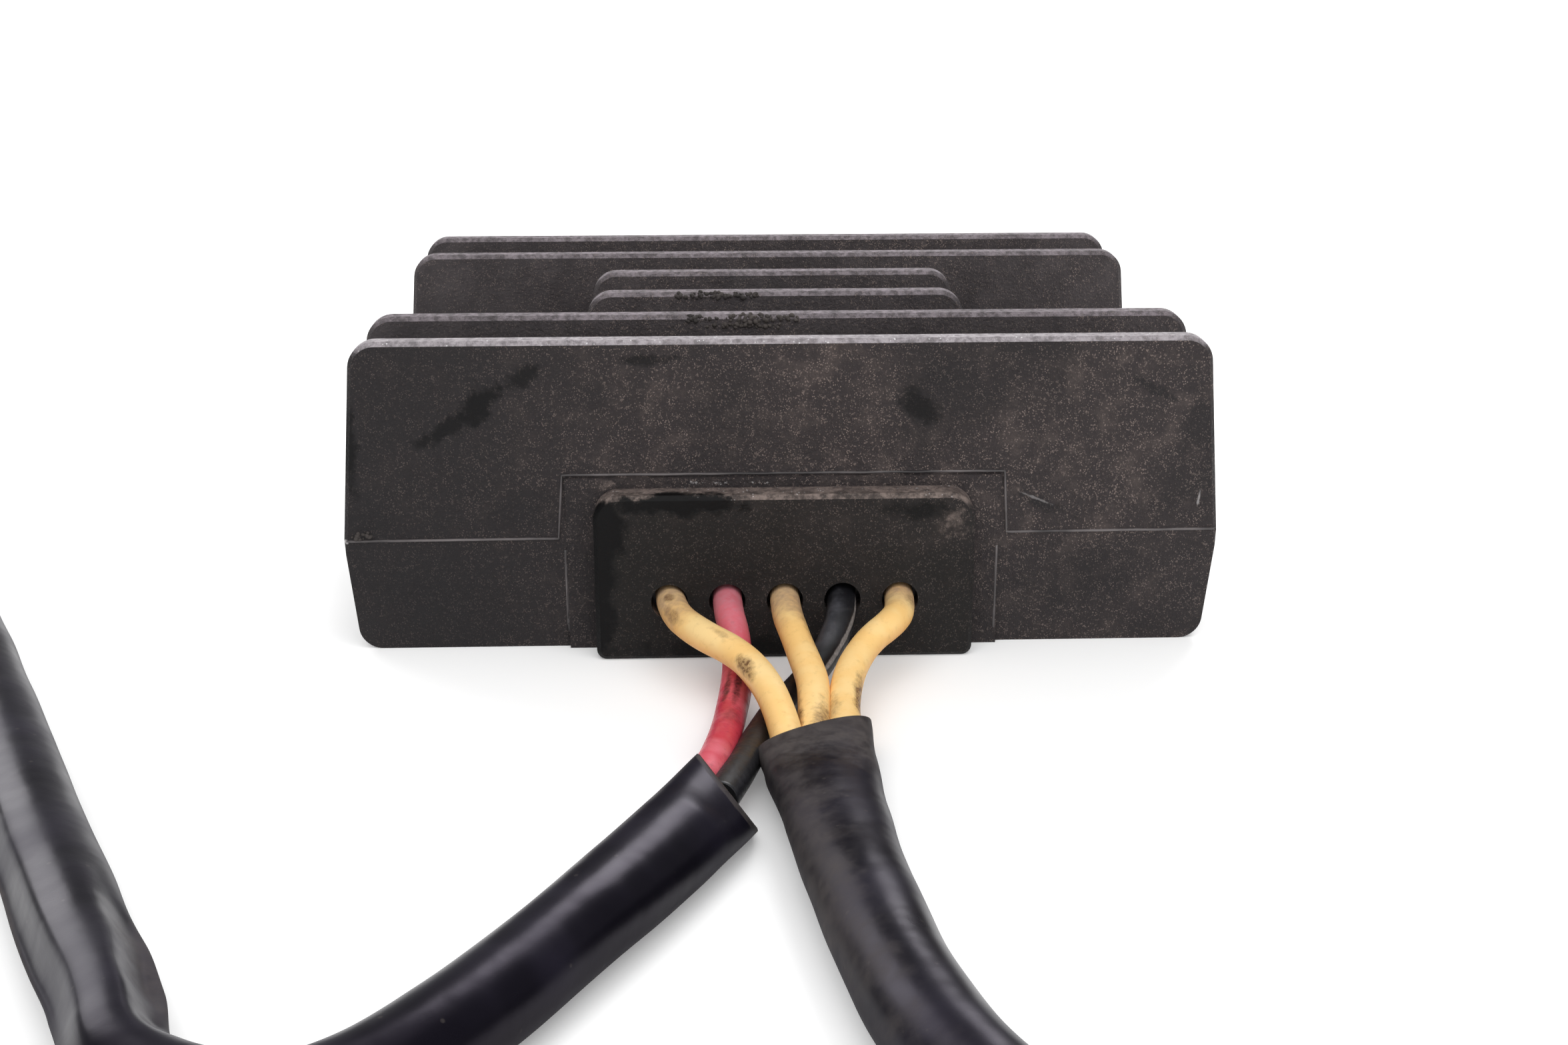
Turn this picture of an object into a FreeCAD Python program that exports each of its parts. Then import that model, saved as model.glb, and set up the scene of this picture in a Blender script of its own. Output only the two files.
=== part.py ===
"""Voltage regulator rectifier: a finned die casting, potted from below, with five leads in two sleeves.

Millimetres, +Z up. The origin is on the base plane, midway between the two fixing holes.
+X runs along the fins and the wire block faces -Y.
"""
import FreeCAD, Part
import Sketcher
import math
import os
import re

from FreeCAD import Placement, Rotation, Vector

os.makedirs("parts", exist_ok=True)
doc = FreeCAD.newDocument("VoltageRegulatorRectifier")

# Driving dimensions, in millimetres and degrees

SIZES = {
    # Casting: outline, draft and fins
    "housing_length": 103.7,
    "housing_height": 37.7,
    "parting_height": 14.1,
    "end_draft": 4.5,
    "face_draft": 2.2,
    "fin_pitch": 13.4,
    "fin_tip": 2.7,
    "channel_floor": 16.5,
    "short_fin_length": 48.0,
    "fin_corner": 3.2,
    "base_corner": 2.8,
    "edge_bevel": 0.5,
    "root_round": 1.5,
    # Casting: raised pad and wire block on the front face
    "pad_width": 51.4,
    "pad_height": 21.5,
    "pad_proud": 0.25,
    "pad_draft": 1.6,
    "block_width": 44.6,
    "block_height": 20.3,
    "block_proud": 3.75,
    "block_corner": 3.0,
    "block_foot_corner": 1.2,
    # Casting: cavity and holes
    "cavity_length": 62.0,
    "cavity_width": 60.0,
    "cavity_height": 12.0,
    "cavity_corner": 3.0,
    "fixing_spacing": 80.0,
    "fixing_hole_radius": 3.3,
    "wire_pitch": 6.8,
    "wire_height": 7.3,
    "wire_hole_radius": 2.15,
    "overrun": 1.0,
    # Potting and the power plate in it
    "resin_recess": 0.8,
    "lead_in": 36.5,
    "plate_length": 58.0,
    "plate_width": 44.0,
    "plate_thickness": 1.5,
    "plate_offset": 5.0,
    "chip_side": 7.0,
    "chip_thickness": 0.9,
    "chip_pitch": 18.0,
    "thyristor_row": 16.0,
    "diode_row": 4.0,
    # Control board and what it carries
    "board_length": 56.0,
    "board_width": 38.0,
    "board_thickness": 1.6,
    "board_underside": 3.0,
    "board_offset": 7.0,
    "control_chip_length": 10.0,
    "control_chip_width": 6.0,
    "control_chip_height": 2.2,
    "capacitor_radius": 3.0,
    "capacitor_height": 3.6,
    "capacitor_pitch": 34.0,
    "resistor_length": 3.2,
    "resistor_width": 1.6,
    "resistor_height": 0.6,
    "resistor_pitch": 7.0,
    "component_row": 14.0,
    "post_side": 1.0,
    "post_inset": 2.0,
    # Terminals
    "conductor_radius": 0.95,
    "barrel_width": 3.2,
    "barrel_height": 2.6,
    "barrel_start": 29.5,
    "barrel_length": 6.0,
    "tab_width": 3.0,
    "tab_thickness": 0.8,
    "tab_reach": 1.6,
    # Leads and sleeves
    "wire_radius": 1.75,
    "yellow_sleeve_radius": 4.7,
    "red_black_sleeve_radius": 4.4,
    "sleeve_wall": 0.7,
    "sleeve_mouth_depth": 3.2,
    # Connectors
    "connector_length": 24.0,
    "connector_height": 8.8,
    "connector_wall": 1.3,
    "collar_length": 4.0,
    "way_width": 5.0,
    "socket_depth": 12.0,
    "blade_width": 3.6,
    "blade_thickness": 0.8,
    "blade_length": 9.0,
    "latch_length": 9.0,
    "latch_width": 3.0,
    "latch_height": 1.2,
}

sheet = doc.addObject("Spreadsheet::Sheet", "Sizes")
for row, (alias, number) in enumerate(SIZES.items(), start=1):
    sheet.set(f"A{row}", alias)
    sheet.set(f"B{row}", str(number))
    sheet.setAlias(f"B{row}", alias)
doc.recompute()


def size(alias):
    """The value of one cell of the sheet."""
    return float(getattr(sheet, alias))


def on_sheet(text):
    """An expression in which each name of a size points at its cell."""
    return re.sub(r"[a-z_]+", lambda m: f"Sizes.{m[0]}" if m[0] in SIZES else m[0], text)


def bind(obj, **expressions):
    """Ties properties of an object to expressions. Two underscores stand for a dot."""
    for prop, text in expressions.items():
        obj.setExpression(prop.replace("__", "."), on_sheet(text))
    return obj


def move(obj, x="0", y="0", z="0"):
    """Ties the place of an object to three expressions."""
    return bind(obj, Placement__Base__x=x, Placement__Base__y=y, Placement__Base__z=z)


# Helpers for bodies and their sketches

X, Y, Z = Vector(1, 0, 0), Vector(0, 1, 0), Vector(0, 0, 1)


def new_body(name):
    """An empty body whose label names its node."""
    body = doc.addObject("PartDesign::Body", name)
    body.Label = name
    return body


def sketch_on(body, plane, name):
    """A sketch on one of the body's own origin planes."""
    sketch = body.newObject("Sketcher::SketchObject", name)
    support = next(f for f in body.Origin.OriginFeatures if f.Role == plane)
    sketch.AttachmentSupport = [(support, "")]
    sketch.MapMode = "FlatFace"
    return sketch


def pin_point(sketch, edge, end, place):
    """Holds one point of an edge at a place given by two expressions."""
    for kind, text in zip(("DistanceX", "DistanceY"), place):
        index = sketch.addConstraint(Sketcher.Constraint(kind, -1, 1, edge, end, 1.0))
        sketch.setExpression(f"Constraints[{index}]", on_sheet(text))


def add_outline(sketch, corners):
    """Adds a closed outline. Its constraints put each corner where two expressions say."""
    first, count = sketch.GeometryCount, len(corners)
    ring = [
        Vector(math.cos(2 * math.pi * i / count), math.sin(2 * math.pi * i / count), 0)
        for i in range(count)
    ]
    for i in range(count):
        sketch.addGeometry(Part.LineSegment(ring[i], ring[(i + 1) % count]), False)
    for i in range(count):
        after = first + (i + 1) % count
        sketch.addConstraint(Sketcher.Constraint("Coincident", first + i, 2, after, 1))
    for i, place in enumerate(corners):
        pin_point(sketch, first + i, 1, place)


def add_circle(sketch, radius, place):
    """Adds a circle of a bound radius at a bound place."""
    edge = sketch.addGeometry(Part.Circle(Vector(1, 1, 0), Vector(0, 0, 1), 1.0), False)
    index = sketch.addConstraint(Sketcher.Constraint("Radius", edge, 1.0))
    sketch.setExpression(f"Constraints[{index}]", on_sheet(radius))
    pin_point(sketch, edge, 3, place)


def swept(body, kind, name, sketch, length=None, both_ways=False, reversed_way=False):
    """A pad or pocket of a sketch: of a bound length, or through everything with none."""
    feature = body.newObject(f"PartDesign::{kind}", name)
    feature.Profile = sketch
    if both_ways:
        feature.SideType = "Symmetric"
    feature.Reversed = reversed_way
    if length is None:
        feature.Type = "ThroughAll"
    else:
        bind(feature, Length=length)
    body.Tip = feature
    return feature


def repeated(body, name, original, sketch, length, count):
    """Repeats a feature along its sketch's horizontal axis, over a bound length."""
    pattern = body.newObject("PartDesign::LinearPattern", name)
    pattern.Originals = [original]
    pattern.Direction = (sketch, ["H_Axis"])
    pattern.Occurrences = count
    bind(pattern, Length=length)
    body.Tip = pattern
    return pattern


def is_along(edge, axis):
    """Whether an edge is straight and runs along an axis."""
    if not isinstance(edge.Curve, Part.Line):
        return False
    return abs(edge.tangentAt(edge.FirstParameter).dot(axis)) > 0.999


def middle(edge):
    """The point halfway along an edge."""
    return edge.valueAt((edge.FirstParameter + edge.LastParameter) / 2)


def dressed(body, kind, name, test, **sizes):
    """A Fillet or Chamfer on the edges of the body so far that pass a test."""
    doc.recompute()
    base = body.Tip
    numbered = enumerate(base.Shape.Edges, start=1)
    picked = [f"Edge{i}" for i, edge in numbered if test(edge)]
    if not picked:
        raise ValueError(f"{name} finds no edge")
    feature = body.newObject(f"PartDesign::{kind}", name)
    feature.Base = (base, picked)
    bind(feature, **sizes)
    body.Tip = feature
    doc.recompute()
    return feature


def rounded(body, name, radius, test):
    """Fillets the edges of the body so far that pass a test."""
    return dressed(body, "Fillet", name, test, Radius=radius)


def bevelled(body, name, width, test):
    """Chamfers the edges of the body so far that pass a test."""
    return dressed(body, "Chamfer", name, test, Size=width)


# Places that several features of the casting share, as expressions

FINS = 6
LEADS = 5
RISE = "(housing_height - parting_height)"
HALF_LENGTH = "housing_length / 2"
HALF_DEPTH = f"({(FINS - 1) / 2} * fin_pitch + fin_tip / 2 + tan(face_draft) * {RISE})"
TOP_HALF_LENGTH = f"({HALF_LENGTH} - tan(end_draft) * {RISE})"
BASE_HALF_LENGTH = f"({HALF_LENGTH} - tan(end_draft) * parting_height)"
OUTSIDE = f"({HALF_DEPTH} + 5 * overrun)"
ROOF = "(housing_height + overrun)"


# The housing: one aluminium die casting

def casting_blank(body):
    """The block between the drafted ends and the drafted long faces."""
    front = sketch_on(body, "XZ_Plane", "EndOutline")
    add_outline(front, [
        (f"-{BASE_HALF_LENGTH}", "0"),
        (BASE_HALF_LENGTH, "0"),
        (HALF_LENGTH, "parting_height"),
        (TOP_HALF_LENGTH, "housing_height"),
        (f"-{TOP_HALF_LENGTH}", "housing_height"),
        (f"-{HALF_LENGTH}", "parting_height"),
    ])
    swept(body, "Pad", "Blank", front, length=f"2 * {HALF_DEPTH}", both_ways=True)
    rounded(body, "TopCorners", "fin_corner",
            lambda e: is_along(e, Y) and middle(e).z > size("housing_height") - 0.01)
    rounded(body, "BaseCorners", "base_corner",
            lambda e: is_along(e, Y) and middle(e).z < 0.01)

    side = sketch_on(body, "YZ_Plane", "FaceDraft")
    base_depth = f"({HALF_DEPTH} - tan(end_draft) * (parting_height + overrun))"
    top_depth = f"({HALF_DEPTH} - tan(face_draft) * ({RISE} + overrun))"
    for sign in ("-", ""):
        add_outline(side, [
            (f"{sign}{base_depth}", "-overrun"),
            (f"{sign}{HALF_DEPTH}", "parting_height"),
            (f"{sign}{top_depth}", ROOF),
            (f"{sign}{OUTSIDE}", ROOF),
            (f"{sign}{OUTSIDE}", "-overrun"),
        ])
    swept(body, "Pocket", "FaceTrim", side, both_ways=True)


def fins(body):
    """Five drafted channels leave six fins, and the two middle fins are cut short."""
    channel = sketch_on(body, "YZ_Plane", "ChannelOutline")
    first = f"-{(FINS - 2) / 2} * fin_pitch"
    half_mouth = "(fin_pitch - fin_tip) / 2"
    top = f"({half_mouth} + tan(face_draft) * overrun)"
    floor = f"({half_mouth} - tan(face_draft) * (housing_height - channel_floor))"
    add_outline(channel, [
        (f"{first} - {floor}", "channel_floor"),
        (f"{first} + {floor}", "channel_floor"),
        (f"{first} + {top}", ROOF),
        (f"{first} - {top}", ROOF),
    ])
    cut = swept(body, "Pocket", "Channel", channel, both_ways=True)
    repeated(body, "Channels", cut, channel, f"{FINS - 2} * fin_pitch", FINS - 1)

    ends = sketch_on(body, "XZ_Plane", "ShortFinEnds")
    tip = "(short_fin_length / 2 - tan(end_draft) * overrun)"
    foot = "(short_fin_length / 2 + tan(end_draft) * (housing_height - channel_floor))"
    beyond = f"({HALF_LENGTH} + overrun)"
    for sign in ("-", ""):
        add_outline(ends, [
            (f"{sign}{foot}", "channel_floor"),
            (f"{sign}{beyond}", "channel_floor"),
            (f"{sign}{beyond}", ROOF),
            (f"{sign}{tip}", ROOF),
        ])
    swept(body, "Pocket", "FixingWells", ends, length="2 * fin_pitch", both_ways=True)
    half_short = size("short_fin_length") / 2
    rounded(body, "ShortFinCorners", "fin_corner",
            lambda e: is_along(e, Y) and middle(e).z > size("housing_height") - 0.01
            and abs(abs(middle(e).x) - half_short) < 0.01)
    bevelled(body, "FinTips", "edge_bevel",
            lambda e: is_along(e, X) and middle(e).z > size("housing_height") - 0.01)
    rounded(body, "ChannelRoots", "root_round",
            lambda e: is_along(e, X) and abs(middle(e).z - size("channel_floor")) < 0.01)


def front_pad(body):
    """The shallow raised pad that steps up over the parting line, and the wire block on it."""
    inside = f"-({HALF_DEPTH} - 2 * overrun)"
    pad = sketch_on(body, "YZ_Plane", "PadProfile")
    pad_foot = f"({HALF_DEPTH} + pad_proud - tan(pad_draft) * pad_height)"
    add_outline(pad, [
        (inside, "0"),
        (f"-{pad_foot}", "0"),
        (f"-({HALF_DEPTH} + pad_proud)", "pad_height"),
        (inside, "pad_height"),
    ])
    swept(body, "Pad", "Pad", pad, length="pad_width", both_ways=True)

    block = sketch_on(body, "YZ_Plane", "WireBlockProfile")
    add_outline(block, [
        (inside, "0"),
        (f"-({HALF_DEPTH} + block_proud)", "0"),
        (f"-({HALF_DEPTH} + block_proud)", "block_height"),
        (inside, "block_height"),
    ])
    swept(body, "Pad", "WireBlock", block, length="block_width", both_ways=True)
    front = size("fin_pitch") * (FINS - 1) / 2 + size("fin_tip")
    rounded(body, "BlockCorners", "block_corner",
            lambda e: is_along(e, Y) and middle(e).y < -front
            and abs(middle(e).z - size("block_height")) < 0.01)
    rounded(body, "BlockFootCorners", "block_foot_corner",
            lambda e: is_along(e, Y) and middle(e).y < -front and middle(e).z < 0.01
            and abs(abs(middle(e).x) - size("block_width") / 2) < 0.01)


def cavity_and_holes(body):
    """The potting cavity under the fins, the fixing holes and the holes for the leads."""
    cavity = sketch_on(body, "XY_Plane", "CavityOutline")
    add_outline(cavity, [
        ("-cavity_length / 2", "-cavity_width / 2"),
        ("cavity_length / 2", "-cavity_width / 2"),
        ("cavity_length / 2", "cavity_width / 2"),
        ("-cavity_length / 2", "cavity_width / 2"),
    ])
    swept(body, "Pocket", "Cavity", cavity, length="cavity_height", reversed_way=True)
    half = size("cavity_length") / 2
    rounded(body, "CavityCorners", "cavity_corner",
            lambda e: is_along(e, Z) and abs(abs(middle(e).x) - half) < 0.01
            and abs(middle(e).y) < size("cavity_width") / 2 + 0.01)

    fixings = sketch_on(body, "XY_Plane", "FixingHoleCircles")
    for sign in ("-", ""):
        add_circle(fixings, "fixing_hole_radius", (f"{sign}fixing_spacing / 2", "0"))
    swept(body, "Pocket", "FixingHoles", fixings, both_ways=True)

    leads = sketch_on(body, "XZ_Plane", "LeadHoleCircle")
    add_circle(leads, "wire_hole_radius", ("-2 * wire_pitch", "wire_height"))
    cut = swept(body, "Pocket", "LeadHole", leads, reversed_way=True)
    repeated(body, "LeadHoles", cut, leads, "4 * wire_pitch", LEADS)


housing = new_body("heatsink_housing")
casting_blank(housing)
fins(housing)
front_pad(housing)
cavity_and_holes(housing)
bevelled(housing, "BlockFront", "edge_bevel",
         lambda e: is_along(e, X) and middle(e).z > size("wire_height")
         and middle(e).y < housing.Shape.BoundBox.YMin + 0.01)


# The circuit: a power plate against the cavity roof, and a control board below it

def box(name, length, width, height, x, y, z):
    """A block given by its three sides and the centre of its underside, as expressions."""
    block = doc.addObject("Part::Box", name)
    block.Label = name
    bind(block, Length=length, Width=width, Height=height)
    return move(block, f"{x} - ({length}) / 2", f"{y} - ({width}) / 2", z)


def upright(name, radius, height, x, y, z):
    """An upright cylinder on the centre of its underside."""
    rod = doc.addObject("Part::Cylinder", name)
    rod.Label = name
    bind(rod, Radius=radius, Height=height)
    return move(rod, x, y, z)


def fused(name, pieces):
    """Several primitives as one node."""
    union = doc.addObject("Part::MultiFuse", name)
    union.Label = name
    union.Shapes = pieces
    return union


PLATE_UNDERSIDE = "(cavity_height - plate_thickness)"
BOARD_TOP = "(board_underside + board_thickness)"

plate = box("power_plate", "plate_length", "plate_width", "plate_thickness",
            "0", "plate_offset", PLATE_UNDERSIDE)

chips = []
for kind, row in (("thyristor", "thyristor_row"), ("diode", "diode_row")):
    for i in range(3):
        chips.append(box(f"{kind}_{i + 1}", "chip_side", "chip_side", "chip_thickness",
                         f"{i - 1} * chip_pitch", row, f"{PLATE_UNDERSIDE} - chip_thickness"))

board = box("control_board", "board_length", "board_width", "board_thickness",
            "0", "board_offset", "board_underside")
control_chip = box("control_chip", "control_chip_length", "control_chip_width",
                   "control_chip_height", "0", "component_row", BOARD_TOP)
capacitors = [
    upright(f"capacitor_{i + 1}", "capacitor_radius", "capacitor_height",
            f"{side} * capacitor_pitch / 2", "component_row", BOARD_TOP)
    for i, side in enumerate((-1, 1))
]
resistors = fused("resistors", [
    box(f"ResistorBody{i + 1}", "resistor_length", "resistor_width", "resistor_height",
        f"{i - 2.5} * resistor_pitch", "board_offset - component_row", BOARD_TOP)
    for i in range(6)
])
posts = fused("board_posts", [
    box(f"Post{i + 1}", "post_side", "post_side", f"{PLATE_UNDERSIDE} - {BOARD_TOP}",
        f"{across} * (board_length / 2 - post_inset)",
        f"board_offset + {along} * (board_width / 2 - post_inset)", BOARD_TOP)
    for i, (across, along) in enumerate(((-1, -1), (1, -1), (1, 1), (-1, 1)))
])


# Terminals: the bare end of each lead in its barrel, and a tab up to the power plate

def terminal(number):
    """One terminal: the lead's bare end, its crimped barrel and the tab behind it."""
    x = f"{number - (LEADS + 1) // 2} * wire_pitch"
    plate_edge = "(plate_width / 2 - plate_offset)"
    pieces = []
    conductor = doc.addObject("Part::Cylinder", f"Conductor{number}")
    bind(conductor, Radius="conductor_radius", Height="lead_in - barrel_start")
    conductor.Placement.Rotation = Rotation(X, -90)
    pieces.append(move(conductor, x, "-lead_in", "wire_height"))
    pieces.append(box(f"Barrel{number}", "barrel_width", "barrel_length", "barrel_height", x,
                      "-barrel_start + barrel_length / 2", "wire_height - barrel_height / 2"))
    reach = f"(barrel_start - barrel_length - {plate_edge} + tab_reach)"
    pieces.append(box(f"Tab{number}", "tab_width", reach, "tab_thickness", x,
                      f"-(barrel_start - barrel_length) + {reach} / 2",
                      "wire_height - tab_thickness / 2"))
    pieces.append(box(f"Riser{number}", "tab_width", "tab_thickness",
                      f"{PLATE_UNDERSIDE} - wire_height + tab_thickness / 2", x,
                      f"-{plate_edge} + tab_reach - tab_thickness / 2",
                      "wire_height - tab_thickness / 2"))
    return fused(f"terminal_{number}", pieces)


terminals = [terminal(i + 1) for i in range(LEADS)]


# Potting resin: fills the cavity and the lead holes round everything in them

resin_block = new_body("ResinBlock")
fill = sketch_on(resin_block, "XY_Plane", "ResinOutline")
add_outline(fill, [
    ("-cavity_length / 2", "-cavity_width / 2"),
    ("cavity_length / 2", "-cavity_width / 2"),
    ("cavity_length / 2", "cavity_width / 2"),
    ("-cavity_length / 2", "cavity_width / 2"),
])
swept(resin_block, "Pad", "ResinFill", fill, length="cavity_height")
rounded(resin_block, "ResinCorners", "cavity_corner", lambda e: is_along(e, Z))
surface = sketch_on(resin_block, "XY_Plane", "ResinSurface")
add_outline(surface, [
    ("-cavity_length / 2 - overrun", "-cavity_width / 2 - overrun"),
    ("cavity_length / 2 + overrun", "-cavity_width / 2 - overrun"),
    ("cavity_length / 2 + overrun", "cavity_width / 2 + overrun"),
    ("-cavity_length / 2 - overrun", "cavity_width / 2 + overrun"),
])
swept(resin_block, "Pocket", "ResinRecess", surface, length="resin_recess", reversed_way=True)
plug = sketch_on(resin_block, "XZ_Plane", "ResinPlug")
add_circle(plug, "wire_hole_radius", ("-2 * wire_pitch", "wire_height"))
plugs = swept(resin_block, "Pad", "LeadPlug", plug, length="lead_in")
repeated(resin_block, "LeadPlugs", plugs, plug, "4 * wire_pitch", LEADS)

resin = doc.addObject("Part::Cut", "potting_resin")
resin.Label = "potting_resin"
resin.Base = resin_block
resin.Tool = fused("PottedParts", [plate, *chips, board, control_chip, *capacitors,
                                   resistors, posts, *terminals])
doc.recompute()


# Leads and sleeves: straight runs joined by tangent arcs

def route_wire(name, points, radius):
    """The path of a cord through its points, with each corner as round as its runs allow."""
    points = [Vector(*p) for p in points]
    edges, begin = [], points[0]
    for before, corner, after in zip(points, points[1:], points[2:]):
        back, ahead = (before - corner), (after - corner)
        turn = math.pi - back.getAngle(ahead)
        cut = 0.45 * min(back.Length, ahead.Length)
        bend = cut / math.tan(turn / 2)
        start = corner + back.normalize() * cut
        finish = corner + ahead.normalize() * cut
        towards = (back + ahead).normalize()
        crown = corner + towards * (bend / math.cos(turn / 2) - bend)
        edges.append(Part.LineSegment(begin, start).toShape())
        edges.append(Part.Arc(start, crown, finish).toShape())
        print(f"{name}: turn {math.degrees(turn):5.1f} deg, radius {bend:6.1f} mm,"
              f" {bend / (2 * radius):5.1f} diameters")
        begin = finish
    edges.append(Part.LineSegment(begin, points[-1]).toShape())
    return Part.Wire(edges)


def tube(name, points, radius):
    """A round solid along a route, compared with its section times its length."""
    path = route_wire(name, points, radius)
    heading = Vector(*points[1]) - Vector(*points[0])
    ring = Part.Wire(Part.makeCircle(radius, Vector(*points[0]), heading))
    solid = path.makePipe(Part.Face(ring))
    ratio = solid.Volume / (math.pi * radius ** 2 * path.Length)
    print(f"{name}: length {path.Length:.1f} mm, volume over section times length {ratio:.4f}")
    return solid


def shaped(name, shape):
    """A node whose shape is worked out above."""
    node = doc.addObject("Part::Feature", name)
    node.Label = name
    node.Shape = shape
    return node


def mouth(place, direction, radius):
    """The open end of a sleeve, as the round space inside it."""
    bore = radius - size("sleeve_wall")
    return Part.makeCylinder(bore, size("sleeve_mouth_depth"), place, direction)


def sleeve(name, points, radius):
    """A sleeve, open at the end where its leads go in."""
    start, onward = Vector(*points[0]), Vector(*points[1])
    return shaped(name, tube(name, points, radius).cut(mouth(start, onward - start, radius)))


YELLOW_SLEEVE = [
    (2.0, -69.5, 4.7), (2.0, -84.5, 4.7), (4.7, -107.5, 4.7), (9.8, -130.5, 4.7),
    (20.9, -144.7, 4.7), (37.1, -152.4, 4.7), (54.1, -152.4, 4.7),
]
RED_BLACK_SLEEVE = [
    (-8.2, -83.6, 4.4), (-12.6, -96.0, 4.4), (-20.4, -111.2, 4.4), (-29.9, -125.6, 4.4),
    (-38.5, -134.6, 4.4), (-47.8, -136.2, 4.4), (-55.4, -130.3, 4.4), (-60.6, -114.7, 4.4),
    (-72.4, -88.2, 4.4), (-92.6, -46.6, 4.4), (-108.4, -16.0, 4.4),
]
LEAD_ROUTES = {
    "yellow_wire_1": [
        (-13.6, -36.5, 7.3), (-13.6, -43.3, 7.3), (-9.6, -51.8, 7.2), (-2.0, -61.2, 6.4),
        (0.1, -66.9, 5.75), (0.1, -72.7, 5.75),
    ],
    "red_wire": [
        (-6.8, -36.5, 7.3), (-6.8, -43.0, 7.3), (-6.7, -55.0, 1.9), (-8.7, -67.5, 2.1),
        (-8.96, -80.15, 4.4), (-11.03, -85.98, 4.4),
    ],
    "yellow_wire_2": [
        (0.0, -36.5, 7.3), (0.0, -44.5, 7.3), (2.0, -57.0, 6.3), (2.0, -65.6, 2.55),
        (2.0, -72.7, 2.55),
    ],
    "black_wire": [
        (6.8, -36.5, 7.3), (6.8, -42.3, 7.3), (5.8, -48.3, 4.7), (2.6, -54.2, 2.1),
        (-2.0, -62.0, 1.8), (-4.7, -69.8, 2.3), (-5.5, -81.59, 4.4), (-7.5, -87.23, 4.4),
    ],
    "yellow_wire_3": [
        (13.6, -36.5, 7.3), (13.6, -43.0, 7.3), (10.0, -52.4, 7.0), (5.8, -61.4, 6.2),
        (3.9, -67.0, 5.75), (3.9, -72.7, 5.75),
    ],
}

for name, points in LEAD_ROUTES.items():
    shaped(name, tube(name, points, size("wire_radius")))
sleeve("yellow_sleeve", YELLOW_SLEEVE, size("yellow_sleeve_radius"))
sleeve("red_black_sleeve", RED_BLACK_SLEEVE, size("red_black_sleeve_radius"))


# Connectors: a moulded shell on the end of each sleeve, with a blade in each way

def connector(name, blades_name, ways, sleeve_points, sleeve_radius):
    """A shell with one open socket for each way, and its blades, at the end of a sleeve."""
    length, height = size("connector_length"), size("connector_height")
    wall, way = size("connector_wall"), size("way_width")
    collar, depth = size("collar_length"), size("socket_depth")
    width = ways * way + (ways + 1) * wall
    end, before = Vector(*sleeve_points[-1]), Vector(*sleeve_points[-2])
    heading = end - before
    place = Placement(end, Rotation(X, heading))

    shell = Part.makeBox(length, width, height, Vector(collar, -width / 2, -height / 2))
    shell = shell.makeChamfer(size("edge_bevel"), shell.Edges)
    shell = shell.fuse(Part.makeCylinder(sleeve_radius, collar + wall, Vector(0, 0, 0), X))
    latch = Part.makeBox(size("latch_length"), size("latch_width"), size("latch_height") + wall,
                         Vector(collar + length - size("latch_length") - wall,
                                -size("latch_width") / 2, height / 2 - wall))
    shell = shell.fuse(latch)
    blades = []
    for i in range(ways):
        y = (i - (ways - 1) / 2) * (way + wall)
        bottom = collar + length - depth
        socket = Part.makeBox(depth + 1, way, height - 2 * wall,
                              Vector(bottom, y - way / 2, -height / 2 + wall))
        shell = shell.cut(socket)
        blades.append(Part.makeBox(size("blade_length"), size("blade_width"),
                                   size("blade_thickness"),
                                   Vector(bottom, y - size("blade_width") / 2,
                                          -size("blade_thickness") / 2)))
    for node, shape in ((name, shell.removeSplitter()), (blades_name, Part.makeCompound(blades))):
        shaped(node, shape).Placement = place


connector("three_way_connector", "three_way_blades", 3, YELLOW_SLEEVE,
          size("yellow_sleeve_radius"))
connector("two_way_connector", "two_way_blades", 2, RED_BLACK_SLEEVE,
          size("red_black_sleeve_radius"))
doc.recompute()


# Check every object, then write each node to its own file

NODES = [
    "heatsink_housing", "potting_resin", "power_plate",
    "thyristor_1", "thyristor_2", "thyristor_3", "diode_1", "diode_2", "diode_3",
    "control_board", "control_chip", "capacitor_1", "capacitor_2", "resistors", "board_posts",
    "terminal_1", "terminal_2", "terminal_3", "terminal_4", "terminal_5",
    "yellow_wire_1", "red_wire", "yellow_wire_2", "black_wire", "yellow_wire_3",
    "yellow_sleeve", "red_black_sleeve",
    "three_way_connector", "three_way_blades", "two_way_connector", "two_way_blades",
]

for obj in doc.Objects:
    if "Invalid" in obj.State or "Error" in obj.State:
        raise RuntimeError(f"{obj.Label} failed: {obj.State}")
nodes = {label: doc.getObjectsByLabel(label)[0] for label in NODES}
for label, obj in nodes.items():
    if obj.Shape.isNull() or not obj.Shape.isValid() or not obj.Shape.Solids:
        raise RuntimeError(f"{label} has no valid solid")
for label, obj in nodes.items():
    obj.Shape.exportStep(f"parts/{label}.step")
    print(f"{label}: {obj.Shape.Volume / 1000:.3f} cm3, {len(obj.Shape.Solids)} solid(s)")
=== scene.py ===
"""The looks of a finned regulator rectifier, its five leads, their two sleeves and the connectors.

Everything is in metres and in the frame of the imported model: +X along the fins, +Y into the
casting from its wire block, +Z up, with the origin on the base between the fixing holes.
"""

import logging
import math
from dataclasses import dataclass, field, fields, replace
from enum import Enum
from typing import Any, Sequence

import bmesh
import bpy
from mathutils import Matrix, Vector, noise
from mathutils.bvhtree import BVHTree

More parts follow.
